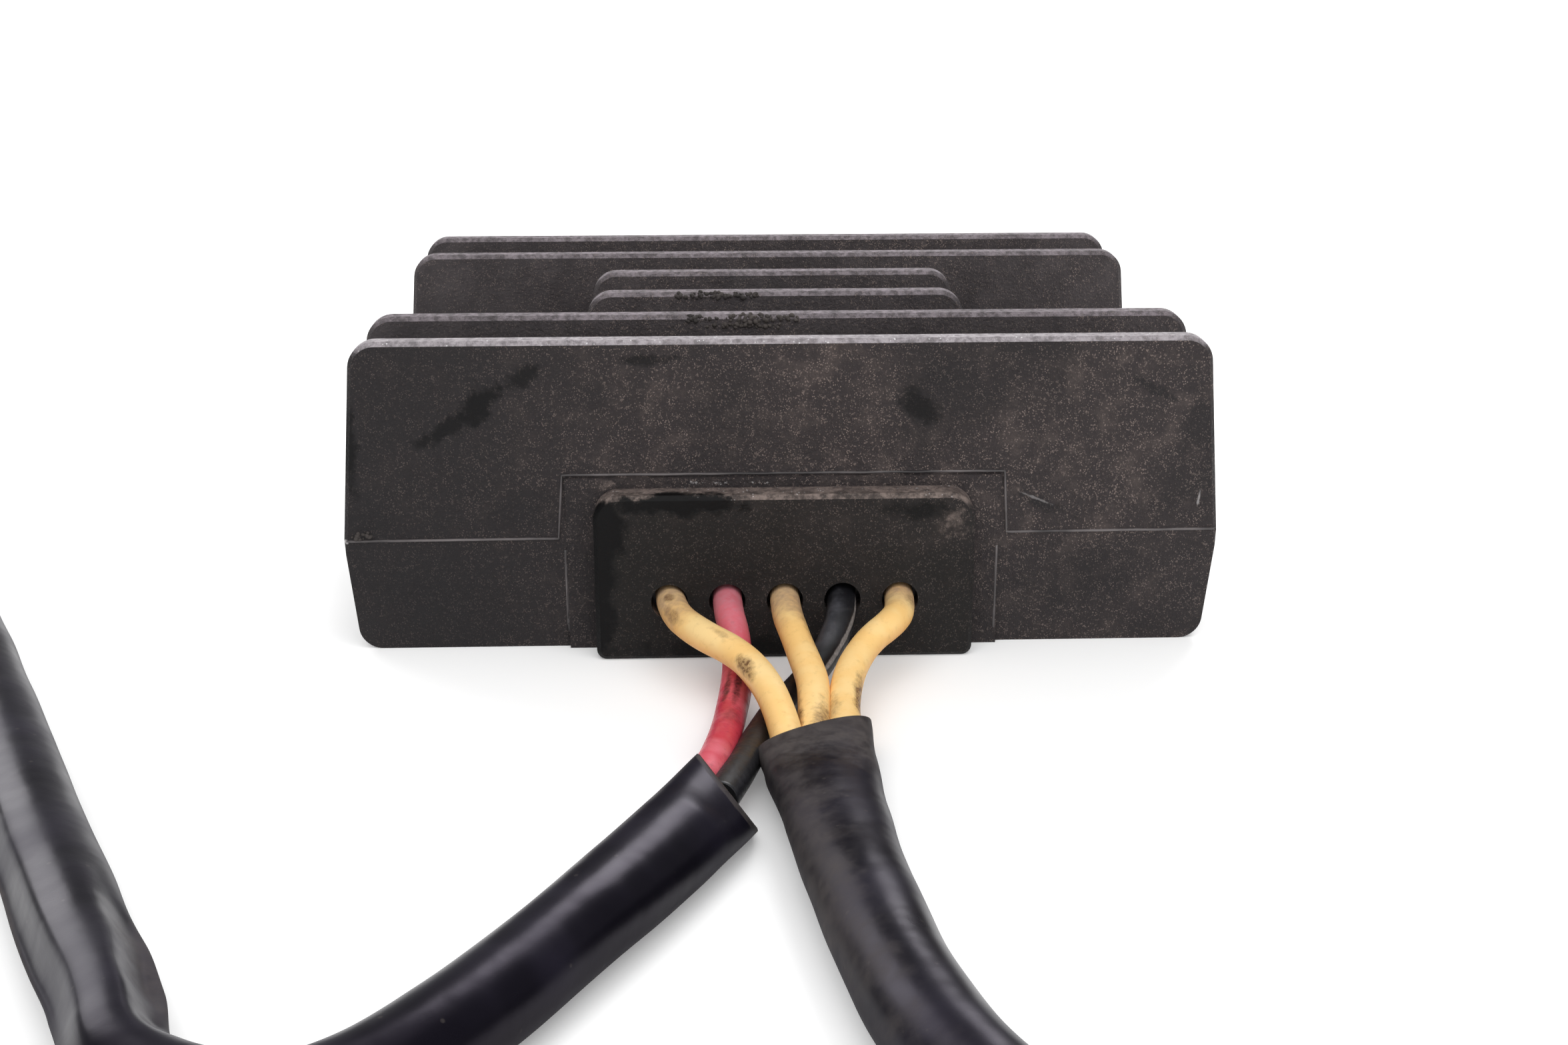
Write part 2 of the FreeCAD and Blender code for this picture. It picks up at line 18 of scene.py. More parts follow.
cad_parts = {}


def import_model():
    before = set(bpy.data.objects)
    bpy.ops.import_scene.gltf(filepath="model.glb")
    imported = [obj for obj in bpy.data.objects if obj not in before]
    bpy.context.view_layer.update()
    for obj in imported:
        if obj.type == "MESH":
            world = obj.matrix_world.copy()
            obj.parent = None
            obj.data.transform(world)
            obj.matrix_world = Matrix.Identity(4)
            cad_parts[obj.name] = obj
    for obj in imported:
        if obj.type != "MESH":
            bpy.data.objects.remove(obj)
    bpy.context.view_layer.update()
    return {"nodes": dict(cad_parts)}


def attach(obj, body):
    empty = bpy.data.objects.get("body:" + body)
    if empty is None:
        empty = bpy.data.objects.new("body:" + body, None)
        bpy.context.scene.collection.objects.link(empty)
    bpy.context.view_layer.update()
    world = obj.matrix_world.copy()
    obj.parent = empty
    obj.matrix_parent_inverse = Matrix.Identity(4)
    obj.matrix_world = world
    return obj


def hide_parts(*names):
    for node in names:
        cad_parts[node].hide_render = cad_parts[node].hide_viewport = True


log = logging.getLogger("scene")

MM = 0.001

Triple = tuple[float, float, float]
Colour = tuple[float, float, float]
Band = tuple[float, float]
Socket = Any


def mm(*values: float) -> Vector:
    """A vector given in millimetres, as metres."""
    return Vector(values) * MM


def smooth_step(share: float) -> float:
    """Eases a share from 0 to 1 with no slope at either end."""
    share = min(max(share, 0.0), 1.0)
    return share * share * (3 - 2 * share)


# Materials

class Finish:
    """One material's node tree, written from named steps."""

    def __init__(self, name: str) -> None:
        """Starts a material with a shader and its output.

        Args:
            name: The material's name.
        """
        self.material = bpy.data.materials.new(name)
        self.material.use_nodes = True
        self.tree = self.material.node_tree
        self.tree.nodes.clear()
        self.shader = self.tree.nodes.new("ShaderNodeBsdfPrincipled")
        output = self.tree.nodes.new("ShaderNodeOutputMaterial")
        self.tree.links.new(self.shader.outputs["BSDF"], output.inputs["Surface"])
        self.place = self.tree.nodes.new("ShaderNodeTexCoord").outputs["Object"]

    def feed(self, socket: Socket, value: Any) -> None:
        """Sets an input, or links it to another node's output.

        Args:
            socket: The input.
            value: A number, a colour or an output.
        """
        if isinstance(value, bpy.types.NodeSocket):
            self.tree.links.new(value, socket)
        elif isinstance(value, (tuple, list)) and socket.type == "RGBA" and len(value) == 3:
            socket.default_value = (*value, 1.0)
        else:
            socket.default_value = value

    def set(self, **inputs: Any) -> None:
        """Feeds the shader's inputs, which are named with underscores for their spaces."""
        for name, value in inputs.items():
            self.feed(self.shader.inputs[name.replace("_", " ")], value)

    def maths(self, operation: str, *values: Any) -> Socket:
        """Does one step of arithmetic.

        Args:
            operation: The step, by the name that the node has for it.
            values: The numbers or outputs that it works on.

        Returns:
            The result.
        """
        node = self.tree.nodes.new("ShaderNodeMath")
        node.operation = operation
        for socket, value in zip(node.inputs, values):
            self.feed(socket, value)
        return node.outputs[0]

    def times(self, *values: Any) -> Socket:
        """Multiplies numbers and outputs.

        Args:
            values: Two or more of them.

        Returns:
            Their product.
        """
        product = values[0]
        for value in values[1:]:
            product = self.maths("MULTIPLY", product, value)
        return product

    def ramp(self, share: Socket, none: float, full: float) -> Socket:
        """A number that runs from one value, at a share of 0, to another, at a share of 1."""
        return self.maths("MULTIPLY_ADD", share, full - none, none)

    def span(self, value: Socket, low: float, high: float) -> Socket:
        """Finds where a value lies between two limits, eased at both ends.

        Args:
            value: The value.
            low: The limit at which the share is 0.
            high: The limit at which it is 1.

        Returns:
            The share.
        """
        node = self.tree.nodes.new("ShaderNodeMapRange")
        node.interpolation_type = "SMOOTHSTEP"
        self.feed(node.inputs["Value"], value)
        node.inputs["From Min"].default_value = low
        node.inputs["From Max"].default_value = high
        return node.outputs["Result"]

    def band(self, value: Socket, limits: Band) -> Socket:
        """The share that span gives, for limits in millimetres."""
        return self.span(value, limits[0] * MM, limits[1] * MM)

    def mixed(self, share: Any, first: Any, second: Any) -> Socket:
        """Mixes two colours.

        Args:
            share: How much of the second there is, from 0 to 1.
            first: The colour at a share of 0.
            second: The colour at a share of 1.

        Returns:
            The colour between them.
        """
        node = self.tree.nodes.new("ShaderNodeMix")
        node.data_type = "RGBA"
        start, end = [socket for socket in node.inputs if socket.type == "RGBA"]
        self.feed(node.inputs["Factor"], share)
        self.feed(start, first)
        self.feed(end, second)
        return [socket for socket in node.outputs if socket.type == "RGBA"][0]

    def between(self, share: Any, first: Any, second: Any) -> Socket:
        """Mixes two numbers.

        Args:
            share: How much of the second there is, from 0 to 1.
            first: The number at a share of 0.
            second: The number at a share of 1.

        Returns:
            The number between them.
        """
        node = self.tree.nodes.new("ShaderNodeMix")
        self.feed(node.inputs["Factor"], share)
        self.feed(node.inputs["A"], first)
        self.feed(node.inputs["B"], second)
        return node.outputs["Result"]

    def stretched(self, scale: Triple, centre: Triple = (0, 0, 0), turn: Triple = (0, 0, 0),
                  place: Socket | None = None) -> Socket:
        """Moves, turns and shrinks coordinates.

        Args:
            scale: The size along each axis that they are divided by.
            centre: Their new origin.
            turn: The angles that they are turned by, in degrees.
            place: The coordinates, or the object's own with none.

        Returns:
            The new coordinates.
        """
        node = self.tree.nodes.new("ShaderNodeMapping")
        node.vector_type = "TEXTURE"
        self.feed(node.inputs["Vector"], place or self.place)
        node.inputs["Location"].default_value = centre
        node.inputs["Rotation"].default_value = [math.radians(a) for a in turn]
        node.inputs["Scale"].default_value = scale
        return node.outputs["Vector"]

    def clouds(self, size: float, detail: float = 3.0, rough: float = 0.55) -> Socket:
        """Makes soft noise.

        Args:
            size: About how far its features are across, in metres.
            detail: How many finer layers it has.
            rough: How strong the finer layers are.

        Returns:
            The noise, from 0 to 1 about a half.
        """
        node = self.tree.nodes.new("ShaderNodeTexNoise")
        self.feed(node.inputs["Vector"], self.place)
        node.inputs["Scale"].default_value = 1 / size
        node.inputs["Detail"].default_value = detail
        node.inputs["Roughness"].default_value = rough
        return node.outputs["Fac"]

    def grains(self, size: float) -> Socket:
        """Scatters points.

        Args:
            size: Their spacing, in metres.

        Returns:
            The distance to the nearest point, as a share of their spacing.
        """
        node = self.tree.nodes.new("ShaderNodeTexVoronoi")
        self.feed(node.inputs["Vector"], self.place)
        node.inputs["Scale"].default_value = 1 / size
        return node.outputs["Distance"]

    def axis(self, name: str, source: Socket | None = None) -> Socket:
        """Picks one coordinate.

        Args:
            name: X, Y or Z.
            source: The coordinates, or the object's own with none.

        Returns:
            The coordinate.
        """
        node = self.tree.nodes.new("ShaderNodeSeparateXYZ")
        self.feed(node.inputs[0], source or self.place)
        return node.outputs[name]

    def facing(self, name: str) -> Socket:
        """How far the surface faces along an axis, from -1 to 1."""
        return self.axis(name, self.tree.nodes.new("ShaderNodeNewGeometry").outputs["Normal"])

    def own_map(self) -> Socket:
        """Reads a tube's own map.

        Returns:
            Millimetres along the tube, and a turn of 0 to 10 round it, both in thousandths.
        """
        node = self.tree.nodes.new("ShaderNodeUVMap")
        node.uv_map = "along"
        return node.outputs["UV"]

    def off_top(self, lay: Socket) -> Socket:
        """How far round a tube a place is from its top: 5 thousandths are half a turn."""
        return self.maths("ABSOLUTE", self.maths("SUBTRACT", self.axis("Y", lay), 5 * MM))

    def patch(self, centre: Triple, reach: Triple, turn: Triple = (0, 0, 0),
              ragged: float = 0.5, grain: float = 0.004, fade: float = 0.35,
              place: Socket | None = None) -> Socket:
        """A stain with a ragged edge: 1 in its middle and 0 outside.

        Args:
            centre: Its middle, in metres.
            reach: Its half sizes, in metres.
            turn: The angles that it is turned by, in degrees.
            ragged: How far noise moves its edge, as a share of its reach.
            grain: The size of the notches in its edge, in metres.
            fade: The share of its reach that it fades out over.
            place: The coordinates that it lies in, or the object's own with none.

        Returns:
            The output that holds the share.
        """
        length = self.tree.nodes.new("ShaderNodeVectorMath")
        length.operation = "LENGTH"
        self.feed(length.inputs[0], self.stretched(reach, centre, turn, place))
        torn = self.ramp(self.clouds(grain, 4.0, 0.65), -ragged, ragged)
        edge = self.maths("ADD", length.outputs["Value"], torn)
        return self.maths("SUBTRACT", 1.0, self.span(edge, 1.15 - fade, 1.15))

    def relief(self, *layers: tuple[Socket, float]) -> None:
        """Bumps the surface by several layers.

        Args:
            layers: Pairs of a height from 0 to 1 and the depth that it stands for, in metres.
        """
        normal = None
        for height, depth in layers:
            bump = self.tree.nodes.new("ShaderNodeBump")
            bump.inputs["Distance"].default_value = depth
            self.feed(bump.inputs["Height"], height)
            if normal is not None:
                self.tree.links.new(normal, bump.inputs["Normal"])
            normal = bump.outputs["Normal"]
        self.tree.links.new(normal, self.shader.inputs["Normal"])


@dataclass(frozen=True)
class Stain:
    """A place on a surface, in millimetres and degrees, that differs from what is round it."""

    centre: Triple
    reach: Triple
    turn: Triple = (0.0, 0.0, 0.0)
    ragged: float = 0.5
    grain: float = 4.0
    fade: float = 0.35
    depth: float = 1.0

    def on(self, finish: Finish, place: Socket | None = None) -> Socket:
        """The stain as a share of a finish, which its depth scales."""
        share = finish.patch(mm(*self.centre), mm(*self.reach), self.turn, self.ragged,
                             self.grain * MM, self.fade, place)
        return finish.maths("MULTIPLY", share, self.depth)


def stained(finish: Finish, stains: Sequence[Stain], place: Socket | None = None) -> Socket:
    """Finds where any of several stains lies.

    Args:
        finish: The finish that they are on.
        stains: The stains.
        place: The coordinates that they lie in, or the object's own with none.

    Returns:
        The share of the strongest stain at each place.
    """
    strongest: Any = 0.0
    for stain in stains:
        strongest = finish.maths("MAXIMUM", strongest, stain.on(finish, place))
    return strongest


@dataclass(frozen=True)
class CastPaint:
    """Black paint on a sand-textured casting, dusty, and damp in places, with painted shade,
    painted light and painted glints.

    Each band says where along an axis something sets in, and where it is in full.
    """

    paint: Colour = (0.0205, 0.0188, 0.0200)
    # Painted shade: the block face, turned down from the light, is coloured darker
    block_paint: Colour = (0.0105, 0.0100, 0.0095)
    worn: Colour = (0.0370, 0.0310, 0.0318)
    # Painted light: the paler colour of the fins behind the first
    far: Colour = (0.082, 0.072, 0.075)
    dust: Colour = (0.26, 0.205, 0.182)
    # Dust with painted light: the up-facing fin tops are paler
    pale_dust_and_top_light: Colour = (0.30, 0.262, 0.285)
    # Dust with a painted highlight along the first fin's top edge
    edge_dust_and_highlight: Colour = (0.50, 0.465, 0.485)
    # Painted highlights: white glints on the first fin's top edge and the block's ledge
    painted_glint: Colour = (0.80, 0.79, 0.80)
    chip: Colour = (0.46, 0.44, 0.44)
    damp: Colour = (0.0030, 0.0028, 0.0030)
    fin_tops: Band = (35.4, 36.8)
    below_parting_line: Band = (14.6, 13.0)
    block_face: Band = (-37.0, -38.4)
    block_ledge: Band = (-35.9, -36.5)
    first_fin: Band = (-29.0, -31.0)
    later_fins: Band = (-30.0, -20.0)
    towards_back: Band = (-25.0, 25.0)
    towards_right: Band = (-42.0, -6.0)
    damp_patches: tuple[Stain, ...] = (
        Stain((-39.6, -35.5, 27.4), (4.2, 9, 1.1), (0, -32, 0), 1.2, 1.8, 0.7, 0.85),
        Stain((-35.4, -35.5, 30.2), (3.5, 9, 1.9), (0, -45, 0), 1.1, 2.0, 0.6, 0.95),
        Stain((-30.2, -35.5, 33.4), (2.7, 9, 1.2), (0, -25, 0), 1.2, 1.6, 0.8, 0.8),
        Stain((16.0, -35.5, 29.3), (2.8, 9, 2.0), (0, 35, 0), 1.1, 2.6, 0.8, 0.8),
        Stain((-50.6, -35.5, 25.5), (1.0, 30, 6.0), (0, 0, 0), 1.2, 2.6, 0.7, 0.9),
        Stain((-15.7, -35.5, 35.4), (4.2, 9, 0.8), (0, -4, 0), 1.3, 2.0, 0.8, 0.7),
    )
    # Painted shadows: dark places where the lighter paint and the dust are held back
    shadows: tuple[Stain, ...] = (
        Stain((-48.0, -35.5, 16.2), (4.0, 30, 2.4), (0, 0, 0), 1.2, 4.0, 0.9, 0.8),
        Stain((-44.5, -35.5, 6.5), (5.0, 30, 4.6), (0, 0, 0), 1.2, 4.0, 0.9, 0.8),
        Stain((21.0, -35.5, 30.5), (9.0, 9, 5.5), (0, -25, 0), 1.2, 7.0, 0.9, 0.7),
        Stain((-29.0, -35.5, 17.5), (6.5, 9, 3.2), (0, 0, 0), 1.2, 5.0, 0.9, 0.7),
        Stain((36.0, -35.5, 8.0), (9.0, 30, 4.5), (0, 0, 0), 1.2, 6.0, 0.9, 0.6),
        Stain((49.0, -35.5, 27.0), (2.6, 30, 5.5), (0, 0, 0), 1.2, 4.0, 0.9, 0.7),
        Stain((31.0, -35.5, 17.6), (3.6, 4, 0.9), (0, 25, 0), 1.4, 1.6, 0.8, 1.0),
        Stain((43.5, -35.5, 31.5), (4.2, 4, 0.7), (0, 28, 0), 1.4, 1.8, 0.8, 1.0),
    )
    block_gloss: tuple[Stain, ...] = (
        Stain((-21.9, -39.5, 10.0), (2.0, 3, 11.0), (0, 0, 0), 1.0, 3.0, 0.5),
        Stain((-20.8, -39.5, 16.6), (2.6, 3, 3.6), (0, 0, 0), 1.0, 3.0, 0.5),
        Stain((-12.2, -39.5, 19.3), (7.2, 3, 1.5), (0, 0, 0), 1.1, 2.6, 0.5),
        Stain((15.5, -39.5, 18.4), (4.4, 3, 1.5), (0, 0, 0), 1.3, 3.0, 0.9, 0.75),
        Stain((-4.0, -39.5, 1.5), (17.0, 3, 1.6), (0, 0, 0), 1.3, 3.0, 0.9, 0.8),
    )
    tan_patches: tuple[Stain, ...] = (
        Stain((19.9, -38.0, 16.6), (2.4, 3, 2.0), (0, 40, 0), 1.3, 1.6, 0.9, 0.6),
        Stain((-20.7, -37.0, 20.6), (1.2, 1.5, 0.9), (0, 0, 0), 1.2, 1.2, 0.9, 0.7),
    )
    marks: tuple[Stain, ...] = (
        Stain((29.9, -35.5, 18.4), (2.4, 3, 0.16), (0, 22, 0), 1.2, 0.9, 0.8, 0.3),
        Stain((49.4, -35.5, 18.2), (0.16, 3, 1.0), (0, 8, 0), 1.0, 0.7, 0.8, 0.5),
        Stain((-51.9, -35.5, 13.9), (0.6, 3, 0.3), (0, 0, 0), 1.4, 0.5, 0.5, 0.9),
        Stain((-10.4, -38.0, 20.9), (1.3, 2, 0.35), (0, 0, 0), 1.5, 0.45, 0.5, 0.9),
        Stain((-7.6, -38.0, 20.8), (1.2, 2, 0.3), (0, 0, 0), 1.5, 0.45, 0.5, 0.8),
        Stain((-2.6, -38.0, 20.8), (2.0, 2, 0.25), (0, 0, 0), 1.6, 0.5, 0.5, 0.6),
    )

    def made(self) -> bpy.types.Material:
        """Builds the material.

        Returns:
            The material, on Object coordinates.
        """
        f = Finish("cast_paint")
        rise, deep, high = f.facing("Z"), f.axis("Y"), f.axis("Z")
        # The up-facing fin tops and the first fin's top edge, where dust lies and light is painted
        tops = f.times(f.span(rise, 0.30, 0.92), f.band(high, self.fin_tops))
        front = f.times(f.band(deep, self.first_fin), tops)
        block = f.band(deep, self.block_face)
        # The block's up-facing ledge, where dust lies and light is painted
        ledge = f.times(f.span(rise, 0.25, 0.6), f.band(deep, self.block_ledge))
        gloss = f.times(block, stained(f, self.block_gloss))
        wet = f.maths("MAXIMUM", f.times(stained(f, self.damp_patches), 0.9), gloss)
        # Less dust and lighter paint where it is damp, and painted shade where the shadows lie
        dry_and_unshaded = f.times(f.ramp(wet, 1.0, 0.0), f.ramp(stained(f, self.shadows), 1.0, 0.15))

        # How far dust and lighter paint spread: more towards the right and the back, less towards
        # the bottom, and less on the block face and in the painted shadows, as painted shade
        drift = f.clouds(24 * MM, 4.0, 0.6)
        film = f.clouds(4 * MM, 5.0, 0.65)
        fine = f.clouds(0.9 * MM, 3.0, 0.7)
        spread = f.maths("ADD", f.ramp(f.band(f.axis("X"), self.towards_right), 0.16, 0.90),
                         f.times(f.band(deep, self.towards_back), 0.3))
        spread = f.times(spread, f.ramp(f.span(drift, 0.35, 0.6), 0.45, 1.15), dry_and_unshaded,
                         f.ramp(block, 1.0, 0.34),
                         f.ramp(f.band(high, self.below_parting_line), 1.0, 0.72))
        patchy = f.times(f.ramp(f.span(fine, 0.35, 0.65), 0.25, 1.0),
                         f.ramp(f.span(film, 0.25, 0.6), 0.5, 1.0))

        # The paint, then the film of dust, the specks in its grain, and the dust, painted light,
        # painted highlights and painted glints on the tops and edges
        # Painted shade: the paint is darker on the block face
        colour = f.mixed(block, self.paint, self.block_paint)
        colour = f.mixed(spread, colour, self.worn)
        colour = f.mixed(f.times(f.span(film, 0.45, 0.8), 0.20, spread), colour, self.dust)
        # Painted light: the fins behind the first are paler in patches
        colour = f.mixed(f.times(f.band(deep, self.later_fins),
                                 f.ramp(f.span(film, 0.3, 0.7), 0.35, 0.70)), colour, self.far)
        sand = f.clouds(0.42 * MM, 3.0, 0.75)
        dots = f.times(f.span(f.grains(0.25 * MM), 0.38, 0.20),
                       f.span(f.clouds(1.1 * MM, 4.0, 0.75), 0.43, 0.58))
        specks = f.maths("MAXIMUM", f.times(f.span(sand, 0.585, 0.68), 0.7), dots)
        colour = f.mixed(f.times(specks, f.ramp(spread, 0.12, 0.74)), colour, self.dust)
        # Dust and painted light on the up-facing fin tops
        colour = f.mixed(f.times(tops, patchy), colour, self.pale_dust_and_top_light)
        # Dust and a painted highlight along the first fin's top edge
        colour = f.mixed(f.times(front, f.ramp(patchy, 0.25, 0.85)), colour, self.edge_dust_and_highlight)
        # Painted highlights: white glints on the first fin's top edge and the block's ledge
        painted_glints = f.times(f.span(f.grains(0.5 * MM), 0.25, 0.12),
                         f.span(f.clouds(2.2 * MM, 3.0, 0.6), 0.50, 0.60))
        colour = f.mixed(f.times(painted_glints, f.maths("MAXIMUM", front, ledge)), colour, self.painted_glint)
        # Tan dust, and on the ledge painted light as well
        tan_dust_and_ledge_light = f.maths("MAXIMUM", f.times(ledge, 0.80), stained(f, self.tan_patches))
        colour = f.mixed(f.times(tan_dust_and_ledge_light, patchy, f.ramp(gloss, 1.0, 0.1)), colour, self.dust)
        colour = f.mixed(wet, colour, self.damp)
        colour = f.mixed(stained(f, self.marks), colour, self.chip)

        smooth = f.maths("MAXIMUM", f.times(block, 0.6), wet)
        rough = f.between(wet, f.between(f.span(film, 0.3, 0.7), 0.46, 0.64), 0.42)
        f.set(Base_Color=colour, Roughness=rough, Specular_IOR_Level=0.13)
        f.relief((f.clouds(9 * MM, 2.0, 0.5), 0.22 * MM),
                 (f.times(sand, f.ramp(smooth, 1.0, 0.2)), 0.30 * MM))
        return f.material


@dataclass(frozen=True)
class Insulation:
    """The plastic cover of a lead, with dirt along it, and darker on its sides and underside as
    painted shade and dirt.

    Dirt is placed by the lead's own map: millimetres along it, and a turn of 0 to 10 round it,
    with 0 underneath and 5 on top.
    """

    name: str
    colour: Colour
    worn: Colour
    # Painted shade with some dirt: the darker colour of the sides and the underside
    under: Colour
    dirt: Colour
    grey: Colour
    dusty: tuple[Stain, ...] = ()
    dirty: tuple[Stain, ...] = ()
    gloss: float = 0.42
    film: float = 0.25
    sides: Band = (1.4, 3.4)

    def made(self) -> bpy.types.Material:
        """Builds the material.

        Returns:
            The material, on Object coordinates and the lead's own map.
        """
        f = Finish(self.name)
        lay = f.own_map()
        soft = f.clouds(6 * MM, 3.0, 0.6)
        fine = f.clouds(1.1 * MM, 4.0, 0.7)
        spots = f.clouds(0.45 * MM, 4.0, 0.8)
        colour = f.mixed(f.span(soft, 0.35, 0.7), self.colour, self.worn)
        # Painted shade with some dirt on the sides and the underside
        colour = f.mixed(f.band(f.off_top(lay), self.sides), colour, self.under)
        colour = f.mixed(f.times(f.span(fine, 0.52, 0.74), self.film), colour, self.dirt)
        colour = f.mixed(f.times(stained(f, self.dusty, lay),
                                 f.ramp(f.span(fine, 0.3, 0.7), 0.55, 1.0)), colour, self.grey)
        colour = f.mixed(f.times(stained(f, self.dirty, lay),
                                 f.ramp(f.span(spots, 0.42, 0.62), 0.58, 1.0)), colour, self.dirt)
        rough = f.between(f.span(fine, 0.4, 0.7), self.gloss, self.gloss + 0.2)
        f.set(Base_Color=colour, Roughness=rough, Specular_IOR_Level=0.42)
        f.relief((soft, 0.12 * MM), (fine, 0.02 * MM))
        return f.material


@dataclass(frozen=True)
class SleeveVinyl:
    """Soft black vinyl tubing with a dusty end."""

    name: str
    colour: Colour = (0.0030, 0.0027, 0.0048)
    bloom: Colour = (0.0095, 0.0084, 0.0145)
    flanks: Colour = (0.0062, 0.0054, 0.0056)
    dust: Colour = (0.080, 0.070, 0.064)
    tint: Colour = (0.84, 0.70, 1.0)
    dusty: tuple[Stain, ...] = ()
    gloss: float = 0.27
    sides: Band = (1.5, 2.7)

    def made(self) -> bpy.types.Material:
        """Builds the material.

        Returns:
            The material, on Object coordinates and the sleeve's own map.
        """
        f = Finish(self.name)
        lay = f.own_map()
        soft = f.clouds(14 * MM, 3.0, 0.55)
        fine = f.clouds(1.6 * MM, 4.0, 0.7)
        flank = f.band(f.off_top(lay), self.sides)
        dusty = f.times(stained(f, self.dusty, lay), f.ramp(f.span(fine, 0.3, 0.7), 0.45, 0.95))
        colour = f.mixed(f.span(soft, 0.35, 0.7), self.colour, self.bloom)
        specks = f.times(f.span(f.grains(2.6 * MM), 0.10, 0.04), 0.3)
        colour = f.mixed(specks, colour, self.dust)
        colour = f.mixed(f.times(flank, 0.6), colour, self.flanks)
        colour = f.mixed(dusty, colour, self.dust)
        rough = f.between(f.span(soft, 0.3, 0.7), self.gloss, self.gloss + 0.12)
        rough = f.between(dusty, f.between(flank, rough, 0.68), 0.75)
        f.set(Base_Color=colour, Roughness=rough, Specular_IOR_Level=0.18,
              Specular_Tint=self.tint)
        f.relief((soft, 0.35 * MM), (fine, 0.012 * MM))
        return f.material


@dataclass(frozen=True)
class PlainFinish:
    """A moulded, cast or bare metal finish of one colour, broken up by fine noise."""

    name: str
    colour: Colour
    tint: Colour
    rough: float = 0.5
    metal: float = 0.0
    grain: float = 0.8
    depth: float = 0.02

    def made(self) -> bpy.types.Material:
        """Builds the material.

        Returns:
            The material, on Object coordinates.
        """
        f = Finish(self.name)
        cloud = f.clouds(8 * MM, 4.0, 0.6)
        fine = f.clouds(self.grain * MM, 3.0, 0.65)
        colour = f.mixed(f.span(cloud, 0.3, 0.7), self.colour, self.tint)
        rough = f.between(f.span(fine, 0.3, 0.7), self.rough - 0.06, self.rough + 0.08)
        f.set(Base_Color=colour, Roughness=rough, Metallic=self.metal)
        f.relief((fine, self.depth * MM))
        return f.material


# Shapes

def added(name: str, mesh: bpy.types.Mesh, *materials: bpy.types.Material) -> bpy.types.Object:
    """Puts a mesh in the scene.

    Args:
        name: The object's name.
        mesh: Its mesh.
        materials: Its materials, past those that the mesh has.

    Returns:
        The object.
    """
    piece = bpy.data.objects.new(name, mesh)
    bpy.context.scene.collection.objects.link(piece)
    for material in materials:
        mesh.materials.append(material)
    return piece


def finished(name: str, shape: bmesh.types.BMesh) -> bpy.types.Mesh:
    """Turns a shape under work into a mesh.

    Args:
        name: The mesh's name.
        shape: The shape, which is freed.

    Returns:
        The mesh.
    """
    mesh = bpy.data.meshes.new(name)
    shape.to_mesh(mesh)
    shape.free()
    return mesh


def evaluated(piece: bpy.types.Object) -> bpy.types.Mesh:
    """A plain mesh of what an object's curve or modifiers make."""
    return bpy.data.meshes.new_from_object(
        piece.evaluated_get(bpy.context.evaluated_depsgraph_get()))


def spline_line(points: Sequence[Triple], fineness: int = 16) -> list[Vector]:
    """Follows a smooth spline whose control points are a route's points.

    Args:
        points: The route, in metres.
        fineness: How many steps each of its spans takes.

    Returns:
        The points along the spline, in metres.
    """
    curve = bpy.data.curves.new("route", "CURVE")
    curve.dimensions = "3D"
    curve.resolution_u = fineness
    spline = curve.splines.new("NURBS")
    spline.points.add(len(points) - 1)
    for control, point in zip(spline.points, points):
        control.co = (*point, 1.0)
    spline.order_u = 3
    spline.use_endpoint_u = True
    holder = bpy.data.objects.new("route", curve)
    bpy.context.scene.collection.objects.link(holder)
    mesh = evaluated(holder)
    line = [v.co.copy() for v in mesh.vertices]
    bpy.data.objects.remove(holder)
    bpy.data.curves.remove(curve)
    bpy.data.meshes.remove(mesh)
    return line


@dataclass(frozen=True)
class Section:
    """The cross-section of a tube at one place, in millimetres and degrees.

    Its nips are the shares by which its height is pinched flat at either side, and each ridge
    is the share of its half width that stays round.
    """

    at: float
    half_width: float
    half_height: float
    lean: float = 0.0
    squareness: float = 2.0
    left_nip: float = 0.0
    right_nip: float = 0.0
    left_ridge: float = 0.62
    right_ridge: float = 0.72


